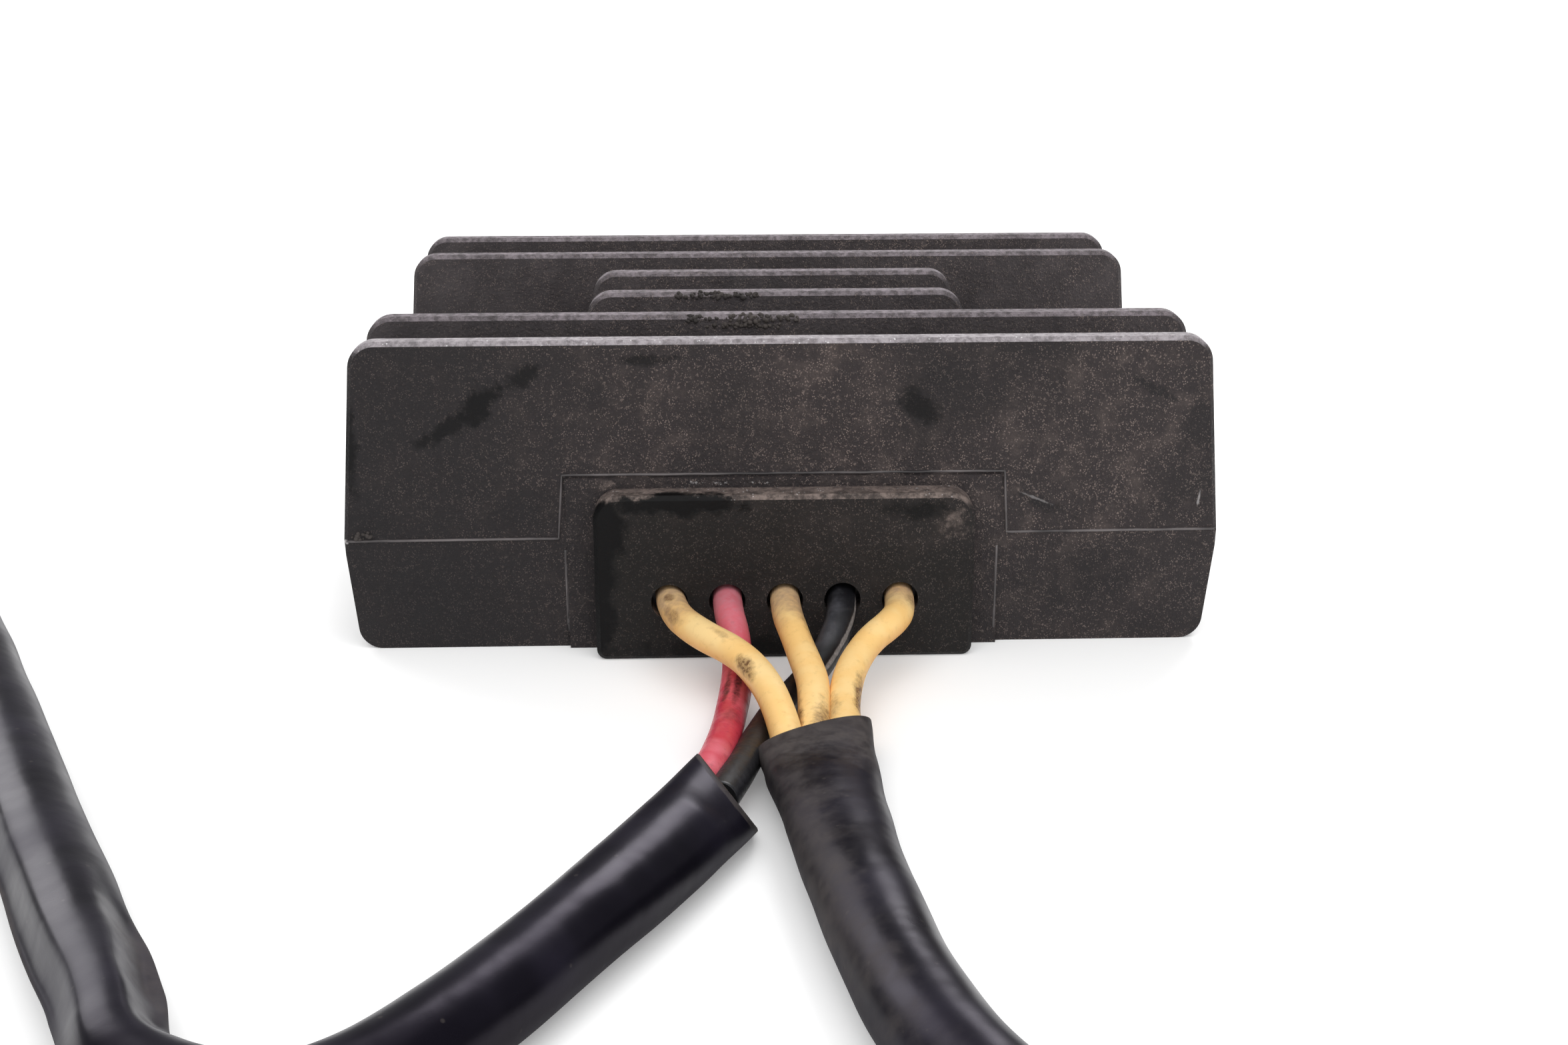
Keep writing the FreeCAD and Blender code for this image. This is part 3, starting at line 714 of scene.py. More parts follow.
@dataclass
class Tube:
    """A tube that follows a line, with an open mouth at its start if it has a wall.

    Its sizes are in millimetres. Its lip is a list of rings from the inside of the wall to the
    outside: the share of the wall that each lies in from the outside, and how far back it lies.
    """

    line: list[Vector]
    sections: tuple[Section, ...]
    sides: int
    wall: float = 0.0
    lip: tuple[Band, ...] = ((1.0, 0.25), (0.75, 0.04), (0.30, 0.0), (0.0, 0.22))
    mouth_depth: float = 12.0
    mouth_fade: float = 14.0
    slant: float = 0.0
    nod: float = 0.0
    left_slope: float = 0.36
    right_slope: float = 0.60
    dents: float = 0.0
    dent_rates: Band = (0.11, 0.12)
    seed: float = 0.0
    floor: float = 0.03
    lengths: list[float] = field(init=False)

    def __post_init__(self) -> None:
        """Measures the line."""
        self.lengths = [0.0]
        for a, b in zip(self.line, self.line[1:]):
            self.lengths.append(self.lengths[-1] + (b - a).length)

    def section(self, at: float) -> Section:
        """Finds the cross-section at one place.

        Args:
            at: The distance along the tube, in millimetres.

        Returns:
            The cross-section, eased between the stated ones before and after it.
        """
        before = self.sections[0]
        for after in self.sections[1:]:
            if at <= after.at:
                break
            before = after
        else:
            return before
        share = smooth_step((at - before.at) / max(after.at - before.at, 1e-9))
        sizes = ((getattr(before, size.name), getattr(after, size.name))
                 for size in fields(Section)[1:])
        return Section(at, *(first + (second - first) * share for first, second in sizes))

    def ring(self, index: int, thinner: float = 0.0, shift: float = 0.0) -> list[Vector]:
        """The points round the tube at one point of its line.

        Args:
            index: The point of the line.
            thinner: How far inside the outer surface the ring lies, in millimetres.
            shift: How far it is moved back along the tube, in millimetres.

        Returns:
            The ring's points, in metres.
        """
        line = self.line
        ahead = (line[min(index + 1, len(line) - 1)] - line[max(index - 1, 0)]).normalized()
        side = ahead.cross(Vector((0, 0, 1))).normalized()
        lift = side.cross(ahead)
        at = self.lengths[index] / MM
        cut = self.section(at)
        lean = math.radians(cut.lean)
        fade = 1 - smooth_step(at / self.mouth_fade)
        along, across = self.dent_rates
        points = []
        for i in range(self.sides):
            angle = 2 * math.pi * (i / self.sides - 0.25)
            power = 2 / cut.squareness
            c, s = math.cos(angle), math.sin(angle)
            x = math.copysign(abs(c) ** power, c) * (cut.half_width - thinner)
            z = math.copysign(abs(s) ** power, s) * (cut.half_height - thinner)
            nip, ridge, slope = ((cut.left_nip, cut.left_ridge, self.left_slope) if c < 0 else
                                 (cut.right_nip, cut.right_ridge, self.right_slope))
            z *= 1 - nip * smooth_step((abs(x) / cut.half_width - ridge) / slope)
            if self.dents:
                where = line[index] / MM * along + Vector((x, z, self.seed)) * across
                dent = 1 + self.dents * (1 - fade) * noise.noise(where)
                x, z = x * dent, z * dent
            wide = x * math.cos(lean) - z * math.sin(lean)
            high = x * math.sin(lean) + z * math.cos(lean)
            back = fade * (self.slant * wide + self.nod * high) + shift
            point = line[index] + (side * wide + lift * high + ahead * back) * MM
            point.z = max(point.z, self.floor * MM)
            points.append(point)
        return points

    def mesh(self, name: str) -> bpy.types.Mesh:
        """Builds the tube.

        Args:
            name: The mesh's name.

        Returns:
            A closed mesh with a map named along: millimetres along it, and 0 to 10 round it
            from its underside, both in thousandths, so that a stain's millimetres fit it.
        """
        rings: list[tuple[list[Vector], float]] = []
        last = len(self.line) - 1
        if self.wall:
            deep = next(i for i, d in enumerate(self.lengths) if d / MM >= self.mouth_depth)
            for i in range(deep, 0, -1):
                rings.append((self.ring(i, self.wall), self.lengths[i]))
            for share, back in self.lip:
                rings.append((self.ring(0, self.wall * share, back), 0.0))
        else:
            rings.append((self.ring(0), 0.0))
        for i in range(1, last + 1):
            rings.append((self.ring(i), self.lengths[i]))

        shape = bmesh.new()
        layer = shape.loops.layers.uv.new("along")
        loops = [[shape.verts.new(p) for p in ring] for ring, _ in rings]
        for k in range(len(loops) - 1):
            for i in range(self.sides):
                j = (i + 1) % self.sides
                face = shape.faces.new((loops[k][i], loops[k][j],
                                        loops[k + 1][j], loops[k + 1][i]))
                face.smooth = True
                turns = (i, i + 1, i + 1, i)
                rows = (k, k, k + 1, k + 1)
                for loop, turn, row in zip(face.loops, turns, rows):
                    loop[layer].uv = (rings[row][1], 10 * MM * turn / self.sides)
        shape.faces.new(list(reversed(loops[0])))
        shape.faces.new(loops[-1])
        bmesh.ops.recalc_face_normals(shape, faces=shape.faces)
        return finished(name, shape)


# The leads and sleeves

@dataclass(frozen=True)
class Lead:
    """One insulated lead, from the resin in its hole to the inside of its sleeve."""

    node: str
    slot: str
    finish: Insulation
    length: float
    route: tuple[Triple, ...]
    diameter: float = 0.0035
    swell: float = 0.06
    seed: float = 0.0
    sides: int = 28

    def build(self) -> bpy.types.Object:
        """Returns:
            The lead's object.
        """
        line = spline_line(self.route)
        radius = self.diameter / 2 / MM
        tube = Tube(line, (Section(0, radius, radius),), sides=self.sides, dents=self.swell,
                    seed=self.seed)
        lead = added(f"{self.node}_cover", tube.mesh(self.node), self.finish.made())
        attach(lead, "root")
        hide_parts(self.node)
        log.info("%s: %.1f mm along its spline", self.node, tube.lengths[-1] / MM)
        return lead


@dataclass(frozen=True)
class Sleeve:
    """One vinyl sleeve, from its open mouth to its connector."""

    node: str
    connector: tuple[str, ...]
    finish: SleeveVinyl
    diameter: float
    length: float
    route: tuple[Triple, ...]
    sections: tuple[Section, ...]
    slant: float
    nod: float
    dents: float
    seed: float
    wall: float = 0.8
    sides: int = 72
    fineness: int = 24

    def build(self, nodes: dict[str, bpy.types.Object]) -> bpy.types.Object:
        """Args:
            nodes: The frame's nodes by name; not used.

        Returns:
            The sleeve's object.
        """
        line = spline_line(self.route, self.fineness)
        tube = Tube(line, self.sections, sides=self.sides, wall=self.wall, slant=self.slant,
                    nod=self.nod, dents=self.dents, seed=self.seed)
        sleeve = added(f"{self.node}_skin", tube.mesh(self.node), self.finish.made())
        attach(sleeve, "root")
        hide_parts(self.node)
        log.info("%s: %.1f mm along its spline", self.node, tube.lengths[-1] / MM)
        return sleeve


YELLOW = Insulation("yellow_cover", (0.95, 0.60, 0.220), (0.97, 0.69, 0.31), (0.80, 0.41, 0.105),
                    (0.130, 0.050, 0.018), (0.40, 0.255, 0.185), film=0.14)


def dust_near_hole(reach: float, where: float = 5.0) -> Stain:
    """The dusty film on a lead where it leaves its hole."""
    return Stain((2.0, where, 0), (reach, 7, 9), ragged=0.7, grain=3.0, fade=0.9, depth=0.85)


def grime(along: float, where: float, reach: float, across: float, depth: float = 0.9) -> Stain:
    """A soft-edged stain at one place of a lead."""
    return Stain((along, where, 0), (reach, across, 9), ragged=0.8, grain=1.6, fade=0.8,
                 depth=depth)


LEADS = (
    Lead("yellow_wire_1", "yellow_insulation",
         replace(YELLOW, name="yellow_cover_left",
                 dusty=(dust_near_hole(9.0),),
                 dirty=(grime(5.0, 4.4, 1.1, 0.7, 0.9), grime(8.5, 3.4, 2.6, 0.8, 0.6),
                        grime(24.5, 3.4, 2.6, 1.0, 1.0), grime(17.0, 4.6, 2.0, 0.5, 0.4))),
         0.0405,
         ((-0.0136, -0.0365, 0.0073), (-0.0133, -0.0418, 0.00695), (-0.0101, -0.0486, 0.0069),
          (-0.0054, -0.0546, 0.0067), (-0.0029, -0.0602, 0.0059), (-0.0016, -0.0653, 0.0049),
          (-0.0008, -0.0705, 0.0036), (-0.0004, -0.0765, 0.0031)), seed=1.0),
    Lead("red_wire", "red_insulation",
         Insulation("red_cover", (0.58, 0.036, 0.070), (0.72, 0.150, 0.195), (0.40, 0.016, 0.038),
                    (0.030, 0.006, 0.010), (0.62, 0.26, 0.30), gloss=0.32, film=0.3,
                    dusty=(dust_near_hole(11.0),),
                    dirty=(grime(20.5, 5.4, 6.5, 0.5, 1.0), grime(21.5, 4.3, 5.0, 0.45),
                           grime(17.0, 6.6, 3.5, 0.8), grime(30.0, 5.6, 3.0, 1.2, 0.5))),
         0.0515,
         ((-0.0068, -0.0365, 0.0073), (-0.00675, -0.0412, 0.0069), (-0.0060, -0.0453, 0.0057),
          (-0.0057, -0.0492, 0.0034), (-0.0060, -0.0540, 0.0021), (-0.0065, -0.0590, 0.0020),
          (-0.0071, -0.0655, 0.0026), (-0.0079, -0.0720, 0.0033), (-0.0091, -0.0790, 0.0042),
          (-0.0110, -0.0860, 0.0044)), seed=2.0),
    Lead("yellow_wire_2", "yellow_insulation",
         replace(YELLOW, name="yellow_cover_middle",
                 dusty=(dust_near_hole(11.0, 6.0),),
                 dirty=(grime(33.0, 6.2, 6.0, 1.6, 0.8), grime(31.0, 3.2, 5.0, 0.9, 0.9),
                        grime(13.0, 6.6, 6.0, 0.8, 0.5))),
         0.0395,
         ((0.0, -0.0365, 0.0073), (0.0, -0.0420, 0.00695), (0.0007, -0.0486, 0.0068),
          (0.0016, -0.0540, 0.0060), (0.0024, -0.0586, 0.0051), (0.00225, -0.0634, 0.0040),
          (0.0020, -0.0685, 0.0032), (0.0021, -0.0760, 0.0031)), seed=3.0),
    Lead("black_wire", "black_insulation",
         Insulation("black_cover", (0.006, 0.006, 0.008), (0.014, 0.014, 0.018),
                    (0.006, 0.006, 0.007), (0.30, 0.28, 0.27), (0.10, 0.10, 0.115), gloss=0.38,
                    film=0.012,
                    dusty=(Stain((9.0, 4.4, 0), (6.0, 1.3, 9), ragged=0.8, fade=0.9, depth=0.6),),
                    dirty=(Stain((11.0, 6.9, 0), (9.0, 0.32, 9), ragged=0.5, grain=1.5,
                                 fade=0.6),)),
         0.054,
         ((0.0068, -0.0365, 0.0073), (0.00675, -0.0409, 0.0068), (0.0059, -0.0445, 0.0053),
          (0.0041, -0.0477, 0.0032), (0.0019, -0.0513, 0.0020), (0.0000, -0.0557, 0.0018),
          (-0.0019, -0.0603, 0.0018), (-0.0037, -0.0660, 0.0019), (-0.0052, -0.0725, 0.0025),
          (-0.0064, -0.0790, 0.0036), (-0.0080, -0.0855, 0.0044)), seed=4.0),
    Lead("yellow_wire_3", "yellow_insulation",
         replace(YELLOW, name="yellow_cover_right",
                 dusty=(dust_near_hole(6.0),),
                 dirty=(grime(27.5, 6.9, 5.0, 1.1, 1.0), grime(5.0, 6.4, 2.0, 1.0, 0.6),
                        grime(30.0, 3.6, 3.0, 1.0, 0.5))),
         0.0405,
         ((0.0136, -0.0365, 0.0073), (0.0136, -0.0417, 0.00695), (0.0121, -0.0463, 0.0070),
          (0.0091, -0.0502, 0.0064), (0.0069, -0.0548, 0.0054), (0.0058, -0.0594, 0.0044),
          (0.0053, -0.0645, 0.0034), (0.0053, -0.0740, 0.0031)), seed=5.0),
)

SLEEVES = (
    Sleeve("yellow_sleeve", ("three_way_connector", "three_way_blades"),
           SleeveVinyl("right_sleeve_vinyl",
                       dusty=(Stain((1.0, 5.0, 0), (13, 9, 9), ragged=0.8, grain=5.0, fade=0.9,
                                    depth=0.9),
                              Stain((30.0, 3.3, 0), (36, 1.7, 9), ragged=0.9, grain=6.0,
                                    fade=0.9, depth=0.65))),
           0.0094, 0.1135,
           ((0.0020, -0.0686, 0.0031), (0.00225, -0.0760, 0.0032), (0.0031, -0.0885, 0.0038),
            (0.0044, -0.1040, 0.0043), (0.0070, -0.1215, 0.0044), (0.0122, -0.1365, 0.0046),
            (0.0215, -0.1468, 0.0047), (0.0371, -0.1524, 0.0047), (0.0541, -0.1524, 0.0047)),
           (Section(0, 6.25, 2.8, -4, 2.4), Section(8, 5.75, 3.0, -2, 2.2),
            Section(20, 5.1, 3.6, 0, 2.0), Section(36, 4.62, 4.15), Section(52, 4.38, 4.35),
            Section(90, 4.7, 4.7)),
           slant=0.45, nod=0.9, dents=0.04, seed=6.0),
    Sleeve("red_black_sleeve", ("two_way_connector", "two_way_blades"),
           SleeveVinyl("left_sleeve_vinyl",
                       dusty=(Stain((0.2, 5.0, 0), (0.6, 9, 9), ragged=0.5, grain=2.0, depth=0.6),
                              Stain((140.0, 7.4, 0), (56, 0.62, 9), ragged=0.5, grain=8.0,
                                    fade=0.6, depth=0.7),
                              Stain((87.0, 2.9, 0), (11, 1.4, 9), ragged=0.5, grain=5.0,
                                    fade=0.6, depth=0.55))),
           0.0088, 0.204,
           ((-0.0071, -0.0836, 0.0044), (-0.0103, -0.0905, 0.0044), (-0.0155, -0.1004, 0.0043),
            (-0.0216, -0.1114, 0.0042), (-0.0273, -0.1209, 0.0041), (-0.0334, -0.1296, 0.0041),
            (-0.0396, -0.1340, 0.0041), (-0.0450, -0.1330, 0.0043), (-0.0496, -0.1312, 0.0046),
            (-0.0529, -0.1280, 0.0048), (-0.0551, -0.1216, 0.0045), (-0.0583, -0.1148, 0.0040),
            (-0.0634, -0.1053, 0.0036),
            (-0.0747, -0.0822, 0.0035), (-0.0870, -0.0570, 0.0037), (-0.0984, -0.0341, 0.0042),
            (-0.1084, -0.0160, 0.0044)),
           (Section(0, 4.72, 3.1, 36, 2.1), Section(10, 4.6, 4.0, 24), Section(34, 4.15, 4.15, 8),
            Section(60, 4.1, 4.1), Section(70, 4.0, 4.1, right_ridge=0.3),
            Section(78, 4.1, 4.3, 0, 2.0, 0.4, 0.6, 0.55, 0.22),
            Section(84, 4.4, 4.3, 0, 2.0, 0.74, 0.85, 0.55, 0.15),
            Section(93, 4.65, 4.2, 0, 2.0, 0.78, 0.78, 0.58, 0.30),
            Section(106, 4.65, 4.1, 0, 2.0, 0.74, 0.0, 0.60, 0.40),
            Section(120, 4.6, 4.0, 0, 2.0, 0.66),
            Section(160, 4.55, 4.0, 0, 2.0, 0.5), Section(198, 4.4, 4.4)),
           slant=-1.05, nod=0.95, dents=0.03, seed=7.0),
)


# The casting and what is potted in it

@dataclass(frozen=True)
class Edge:
    """The rounding that casting and paint leave on corners, in millimetres and degrees."""

    radius: float = 0.28
    steps: int = 2
    least_turn: float = 20.0


@dataclass
class Casting:
    """The finned housing, with its corners softened as cast and painted metal has them."""

    node: str = "heatsink_housing"
    edge: Edge = Edge()
    paint: CastPaint = CastPaint()
    weld: float = 0.002
    flat_within: float = 0.6

    def build(self, nodes: dict[str, bpy.types.Object]) -> bpy.types.Object:
        """Builds the visible casting from the housing's own shape.

        Args:
            nodes: The frame's nodes by name.

        Returns:
            The casting's object.
        """
        shape = bmesh.new()
        shape.from_mesh(nodes[self.node].data)
        bmesh.ops.remove_doubles(shape, verts=shape.verts, dist=self.weld * MM)
        bmesh.ops.dissolve_limit(shape, angle_limit=math.radians(self.flat_within),
                                 verts=shape.verts, edges=shape.edges)
        casting = added("casting", finished("casting", shape), self.paint.made())
        for polygon in casting.data.polygons:
            polygon.use_smooth = True
        soften = casting.modifiers.new("soften", "BEVEL")
        soften.width = self.edge.radius * MM
        soften.segments = self.edge.steps
        soften.limit_method = "ANGLE"
        soften.angle_limit = math.radians(self.edge.least_turn)
        soften.use_clamp_overlap = True
        flat = casting.modifiers.new("flat", "WEIGHTED_NORMAL")
        flat.mode = "FACE_AREA"
        flat.weight = 100
        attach(casting, "root")
        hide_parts(self.node)
        log.info("casting: %d faces before its corners are softened",
                 len(casting.data.polygons))
        return casting


@dataclass(frozen=True)
class Ridge:
    """A thin ridge on the front of the casting, as where the halves of its mould met.

    Its corners are places across and above the base, in millimetres. Its crest is a list of
    shares of its half width and of its height.
    """

    name: str
    corners: tuple[Band, ...]
    height: float
    crest: tuple[Band, ...] = ((-0.5, 0.75), (0.1, 1.0), (0.55, 0.7))
    half_width: float = 0.20
    sunk: float = 0.10
    step: float = 0.5
    front: float = -36.0
    well_before_front: float = -80.0

    def places(self) -> list[Vector]:
        """Divides the line into steps.

        Returns:
            The places along it, in millimetres.
        """
        found = []
        for start, end in zip(self.corners, self.corners[1:]):
            start, end = Vector(start), Vector(end)
            count = max(1, round((end - start).length / self.step))
            found += [start.lerp(end, i / count) for i in range(count)]
        return found + [Vector(self.corners[-1])]

    def build(self, casting: bpy.types.Object) -> bpy.types.Object:
        """Lays the ridge on the casting.

        Args:
            casting: The object that the ridge stands on.

        Returns:
            The ridge, whose paint is worn and paler in patches, as a painted highlight.
        """
        skin = BVHTree.FromObject(casting, bpy.context.evaluated_depsgraph_get())
        places = self.places()
        shape = bmesh.new()
        rows = []
        for i, place in enumerate(places):
            ahead = (places[min(i + 1, len(places) - 1)] - places[max(i - 1, 0)]).normalized()
            across = Vector((-ahead.y, ahead.x)) * self.half_width
            tall = self.height * (0.8 + 0.9 * noise.noise(Vector((*place, 3.0)) * 0.35))
            crest = [(share, rise * tall) for share, rise in self.crest]
            row = []
            for share, rise in ((-1.0, -self.sunk), *crest, (1.0, -self.sunk)):
                x, z = place + across * share
                hit = (skin.ray_cast(mm(x, self.well_before_front, z), Vector((0, 1, 0)))[0]
                       or skin.find_nearest(mm(x, self.front, z))[0])
                row.append(shape.verts.new(hit - mm(0, rise, 0)))
            rows.append(row)
        for before, after in zip(rows, rows[1:]):
            for j in range(len(before)):
                k = (j + 1) % len(before)
                shape.faces.new((before[j], before[k], after[k], after[j])).smooth = True
        shape.faces.new(rows[0])
        shape.faces.new(list(reversed(rows[-1])))
        bmesh.ops.recalc_face_normals(shape, faces=shape.faces)
        # Worn paint with a painted highlight: the pale tint stands for the light that the ridge
        # catches
        ridge = added(self.name, finished(self.name, shape), PlainFinish(
            f"{self.name}_paint", (0.024, 0.021, 0.022), (0.13, 0.115, 0.115), 0.5, grain=0.5,
            depth=0.04).made())
        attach(ridge, "root")
        log.info("%s: %d places along it", self.name, len(places))
        return ridge


RIDGES = (
    Ridge("parting_line", ((-52.0, 14.0), (-26.6, 14.1), (-26.0, 21.8), (26.1, 21.8),
                           (26.5, 14.3), (52.2, 14.4)), height=0.24),
    Ridge("pad_edge_left", ((-25.9, 12.6), (-25.9, 2.0)), height=0.10),
    Ridge("pad_edge_right", ((25.4, 12.6), (25.4, 2.0)), height=0.10),
)


@dataclass(frozen=True)
class CrustPatch:
    """A line along an edge, in millimetres, that grains of crust are caked on."""

    start: Triple
    end: Triple
    reach: float


@dataclass(frozen=True)
class Crust:
    """Grains of caked dirt on the edges of the fins, scattered by geometry nodes."""

    patches: tuple[CrustPatch, ...] = (
        CrustPatch((-11.6, -21.6, 37.3), (2.4, -21.6, 37.3), 0.7),
        CrustPatch((-9.0, -21.9, 36.4), (1.0, -21.9, 36.4), 0.6),
        CrustPatch((-12.8, -8.3, 37.4), (-2.0, -8.3, 37.4), 0.7),
        CrustPatch((-50.9, -35.6, 14.4), (-48.4, -35.6, 14.9), 0.7),
    )
    per_square_mm: float = 7.0
    smallest: float = 0.12
    largest: float = 0.38
    squash: Band = (0.6, 1.2)
    largest_turn: float = 6.28
    step: float = 0.8
    across: tuple[float, ...] = (-1.0, -0.3, 0.4, 1.0)
    seed: int = 11

    def bed(self, skin: BVHTree) -> bpy.types.Mesh:
        """Lays strips on the casting for the grains to be scattered on.

        Args:
            skin: The casting's surface.

        Returns:
            The strips.
        """
        shape = bmesh.new()
        for patch in self.patches:
            start, end = Vector(patch.start), Vector(patch.end)
            count = max(2, round((end - start).length / self.step))
            rows = []
            for i in range(count + 1):
                middle = start.lerp(end, i / count)
                wander = 0.6 + 0.8 * noise.noise(middle * 0.6 + Vector((0, 0, 9)))
                row = []
                for turn in self.across:
                    away = Vector((0, turn, turn * 0.8)) * patch.reach * wander
                    row.append(shape.verts.new(skin.find_nearest(mm(*(middle + away)))[0]))
                rows.append(row)
            for before, after in zip(rows, rows[1:]):
                for j in range(len(before) - 1):
                    shape.faces.new((before[j], before[j + 1], after[j + 1], after[j]))
        return finished("crust_bed", shape)

    def tree(self, material: bpy.types.Material) -> bpy.types.NodeTree:
        """Builds the node tree that scatters grains over a mesh.

        Args:
            material: The grains' material.

        Returns:
            The tree, with inputs for the bed, the density, the sizes and the seed.
        """
        tree = bpy.data.node_groups.new("scatter_crust", "GeometryNodeTree")
        tree.interface.new_socket("Bed", in_out="INPUT", socket_type="NodeSocketGeometry")
        for name, kind, value in (("Density", "NodeSocketFloat", 1.0),
                                  ("Smallest", "NodeSocketFloat", 0.0001),
                                  ("Largest", "NodeSocketFloat", 0.0003),
                                  ("Seed", "NodeSocketInt", 0)):
            tree.interface.new_socket(name, in_out="INPUT", socket_type=kind).default_value = value
        tree.interface.new_socket("Grains", in_out="OUTPUT", socket_type="NodeSocketGeometry")
        new, join = tree.nodes.new, tree.links.new
        source, result = new("NodeGroupInput"), new("NodeGroupOutput")
        spots = new("GeometryNodeDistributePointsOnFaces")
        grain = new("GeometryNodeMeshIcoSphere")
        grain.inputs["Radius"].default_value = 1.0
        grain.inputs["Subdivisions"].default_value = 2
        size = new("FunctionNodeRandomValue")
        turn = new("FunctionNodeRandomValue")
        turn.data_type = "FLOAT_VECTOR"
        turn.inputs[1].default_value = (self.largest_turn,) * 3
        squash = new("FunctionNodeRandomValue")
        squash.data_type = "FLOAT_VECTOR"
        for socket, share in zip(squash.inputs, self.squash):
            socket.default_value = (share,) * 3
        scale = new("ShaderNodeVectorMath")
        scale.operation = "SCALE"
        place = new("GeometryNodeInstanceOnPoints")
        real = new("GeometryNodeRealizeInstances")
        paint = new("GeometryNodeSetMaterial")
        paint.inputs["Material"].default_value = material
        join(source.outputs["Bed"], spots.inputs["Mesh"])
        join(source.outputs["Density"], spots.inputs["Density"])
        join(source.outputs["Smallest"], size.inputs[2])
        join(source.outputs["Largest"], size.inputs[3])
        for node in (spots, size, turn, squash):
            join(source.outputs["Seed"], node.inputs["Seed"])
        join(squash.outputs[0], scale.inputs[0])
        join(size.outputs[1], scale.inputs["Scale"])
        join(spots.outputs["Points"], place.inputs["Points"])
        join(grain.outputs["Mesh"], place.inputs["Instance"])
        join(turn.outputs[0], place.inputs["Rotation"])
        join(scale.outputs[0], place.inputs["Scale"])
        join(place.outputs[0], real.inputs[0])
        join(real.outputs[0], paint.inputs[0])
        join(paint.outputs[0], result.inputs["Grains"])
        return tree

    def build(self, casting: bpy.types.Object) -> bpy.types.Object:
        """Scatters the grains on the casting.

        Args:
            casting: The object that the grains are caked on.

        Returns:
            The grains, as one object.
        """
        skin = BVHTree.FromObject(casting, bpy.context.evaluated_depsgraph_get())
        material = PlainFinish("caked_dirt", (0.022, 0.018, 0.017), (0.075, 0.062, 0.056), 0.8,
                               grain=0.4, depth=0.05).made()
        tree = self.tree(material)
        bed = added("crust_bed", self.bed(skin))
        scatter = bed.modifiers.new("scatter", "NODES")
        scatter.node_group = tree
        keys = {item.name: item.identifier for item in tree.interface.items_tree
                if item.in_out == "INPUT"}
        scatter[keys["Density"]] = self.per_square_mm / MM ** 2
        scatter[keys["Smallest"]] = self.smallest * MM
        scatter[keys["Largest"]] = self.largest * MM
        scatter[keys["Seed"]] = self.seed
        mesh = evaluated(bed)
        bpy.data.objects.remove(bed)
        mesh.name = "caked_grains"
        for polygon in mesh.polygons:
            polygon.use_smooth = True
        grains = added("caked_grains", mesh)
        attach(grains, "root")
        log.info("crust: %d faces", len(mesh.polygons))
        return grains


class Inner(Enum):
    """The finishes of the pieces that keep the frame's own shape."""

    RESIN = PlainFinish("potting_resin_face", (0.012, 0.012, 0.013), (0.02, 0.02, 0.021),
                        0.38, grain=3.0, depth=0.08)
    PLATE = PlainFinish("bare_plate_metal", (0.62, 0.63, 0.64), (0.52, 0.53, 0.55), 0.35, 1.0)
    DIE = PlainFinish("component_moulding", (0.03, 0.03, 0.033), (0.045, 0.045, 0.05), 0.5)
    BOARD = PlainFinish("board_laminate_face", (0.03, 0.16, 0.07), (0.025, 0.12, 0.055), 0.4)
    CONTACT = PlainFinish("tinned_contact", (0.72, 0.68, 0.55), (0.6, 0.57, 0.48), 0.3, 1.0)
    SHELL = PlainFinish("connector_moulding", (0.56, 0.54, 0.47), (0.47, 0.45, 0.39), 0.48,
                        grain=0.5, depth=0.015)

    def nodes(self) -> tuple[str, ...]:
        """The frame's nodes that have this finish.

        Returns:
            Their names.
        """
        return {
            Inner.RESIN: ("potting_resin",),
            Inner.PLATE: ("power_plate",),
            Inner.DIE: ("thyristor_1", "thyristor_2", "thyristor_3", "diode_1", "diode_2",
                        "diode_3", "control_chip", "capacitor_1", "capacitor_2", "resistors"),
            Inner.BOARD: ("control_board",),
            Inner.CONTACT: ("board_posts", "terminal_1", "terminal_2", "terminal_3",
                            "terminal_4", "terminal_5", "three_way_blades", "two_way_blades"),
            Inner.SHELL: ("three_way_connector", "two_way_connector"),
        }[self]


def dress(nodes: dict[str, bpy.types.Object]) -> None:
    """Gives each piece that keeps its own shape its finish.

    Args:
        nodes: The frame's nodes by name.
    """
    for finish in Inner:
        material = finish.value.made()
        for name in finish.nodes():
            data = nodes[name].data
            data.materials.clear()
            data.materials.append(material)
        log.info("%s: %d pieces", finish.value.name, len(finish.nodes()))


# The studio

@dataclass(frozen=True)
class Camera:
    """The camera at the place that the photograph was taken from."""

    place: Triple = (-0.007892, -0.25371, 0.088457)
    down: float = 18.433
    turn: float = -2.081
    lens: float = 44.594
    sensor: float = 36.0

    def build(self) -> None:
        """Adds the camera and makes it the scene's own."""
        data = bpy.data.cameras.new("camera")
        data.lens = self.lens
        data.sensor_fit = "HORIZONTAL"
        data.sensor_width = self.sensor
        data.clip_start = 0.005
        camera = bpy.data.objects.new("camera", data)
        bpy.context.scene.collection.objects.link(camera)
        camera.location = self.place
        camera.rotation_euler = (math.radians(90 - self.down), 0, math.radians(self.turn))
        bpy.context.scene.camera = camera


@dataclass(frozen=True)
class Lamp:
    """One distant soft light, as wide as a big diffuser overhead."""

    name: str
    towards: Triple
    strength: float
    spread: float

    def build(self) -> None:
        """Adds the light."""
        data = bpy.data.lights.new(self.name, "SUN")
        data.energy = self.strength
        data.angle = math.radians(self.spread)
        lamp = bpy.data.objects.new(self.name, data)
        bpy.context.scene.collection.objects.link(lamp)
        lamp.rotation_euler = Vector(self.towards).to_track_quat("-Z", "Y").to_euler()


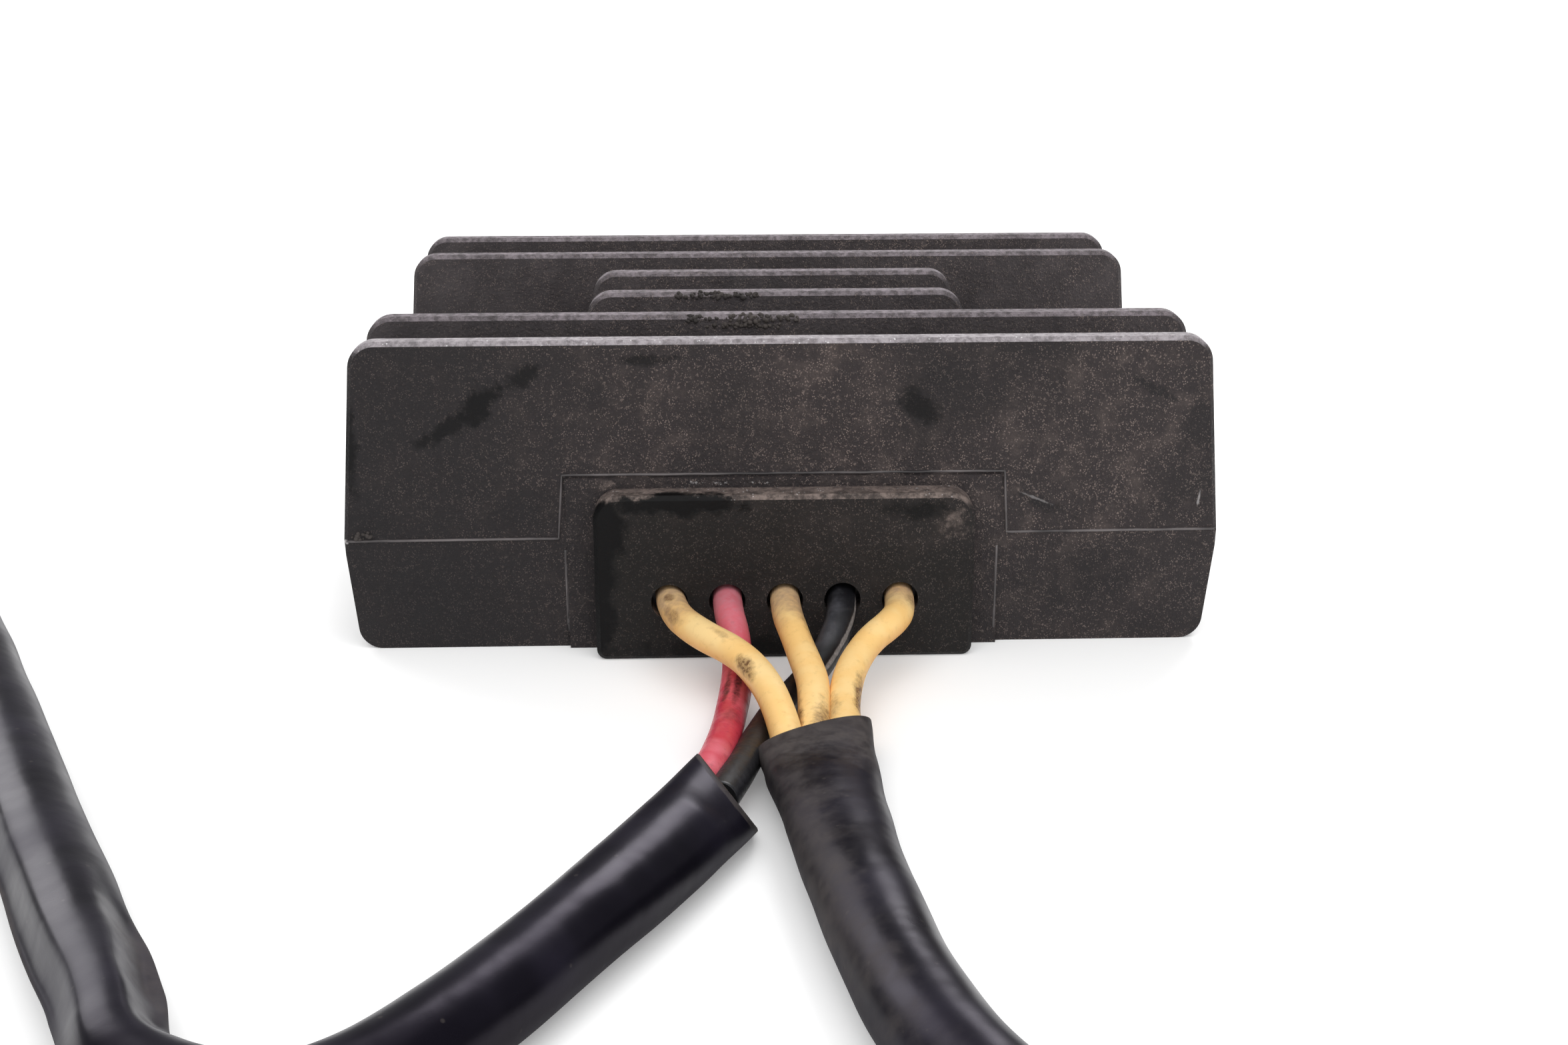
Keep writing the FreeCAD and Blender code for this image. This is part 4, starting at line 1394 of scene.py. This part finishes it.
@dataclass(frozen=True)
class Studio:
    """A pale floor, plain light from all round and soft lamps overhead."""

    floor_size: float = 60.0
    ambient: float = 0.30
    lift: float = 0.16
    lamps: tuple[Lamp, ...] = (
        Lamp("overhead", (0.1, -0.1, -1.0), 0.9, 80.0),
        Lamp("front", (-0.1, 0.8, -0.6), 2.25, 90.0),
        Lamp("back_right", (-0.30, -0.76, -0.60), 1.35, 26.0),
        Lamp("back_left", (0.58, -0.70, -0.42), 0.90, 30.0),
    )

    def build(self) -> None:
        """Adds the floor, the world and the lamps."""
        scene = bpy.context.scene
        scene.view_settings.view_transform = "Standard"
        world = bpy.data.worlds.new("studio")
        world.use_nodes = True
        light = world.node_tree.nodes["Background"]
        light.inputs["Color"].default_value = (1, 1, 1, 1)
        light.inputs["Strength"].default_value = self.ambient
        scene.world = world

        mesh = bpy.data.meshes.new("floor")
        half = self.floor_size / 2
        corners = [(x, y, 0) for x, y in ((-half, -half), (half, -half), (half, half),
                                          (-half, half))]
        mesh.from_pydata(corners, [], [(0, 1, 2, 3)])
        floor = added("floor", mesh, self.floor_material())
        for lamp in self.lamps:
            lamp.build()

    def floor_material(self) -> bpy.types.Material:
        """Makes a matt white floor, lifted to full white for the camera, mirrors and glass.

        Returns:
            The floor's material.
        """
        f = Finish("pale_floor")
        rays = f.tree.nodes.new("ShaderNodeLightPath")
        seen = f.maths("MAXIMUM", rays.outputs["Is Camera Ray"], rays.outputs["Is Glossy Ray"])
        seen = f.maths("MAXIMUM", seen, rays.outputs["Is Transmission Ray"])
        f.set(Base_Color=(0.93, 0.93, 0.93), Roughness=0.9, Specular_IOR_Level=0.0,
              Emission_Color=(1.0, 1.0, 1.0), Emission_Strength=f.times(seen, self.lift))
        return f.material


def main() -> None:
    """Builds the dressed model and its studio."""
    logging.basicConfig(level=logging.INFO, format="%(message)s")
    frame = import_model()
    nodes = frame["nodes"]

    Camera().build()
    for lead in LEADS:
        lead.build()
    for sleeve in SLEEVES:
        sleeve.build(nodes)
    casting = Casting().build(nodes)
    for ridge in RIDGES:
        ridge.build(casting)
    Crust().build(casting)
    dress(nodes)
    Studio().build()


if __name__ == "__main__":
    main()
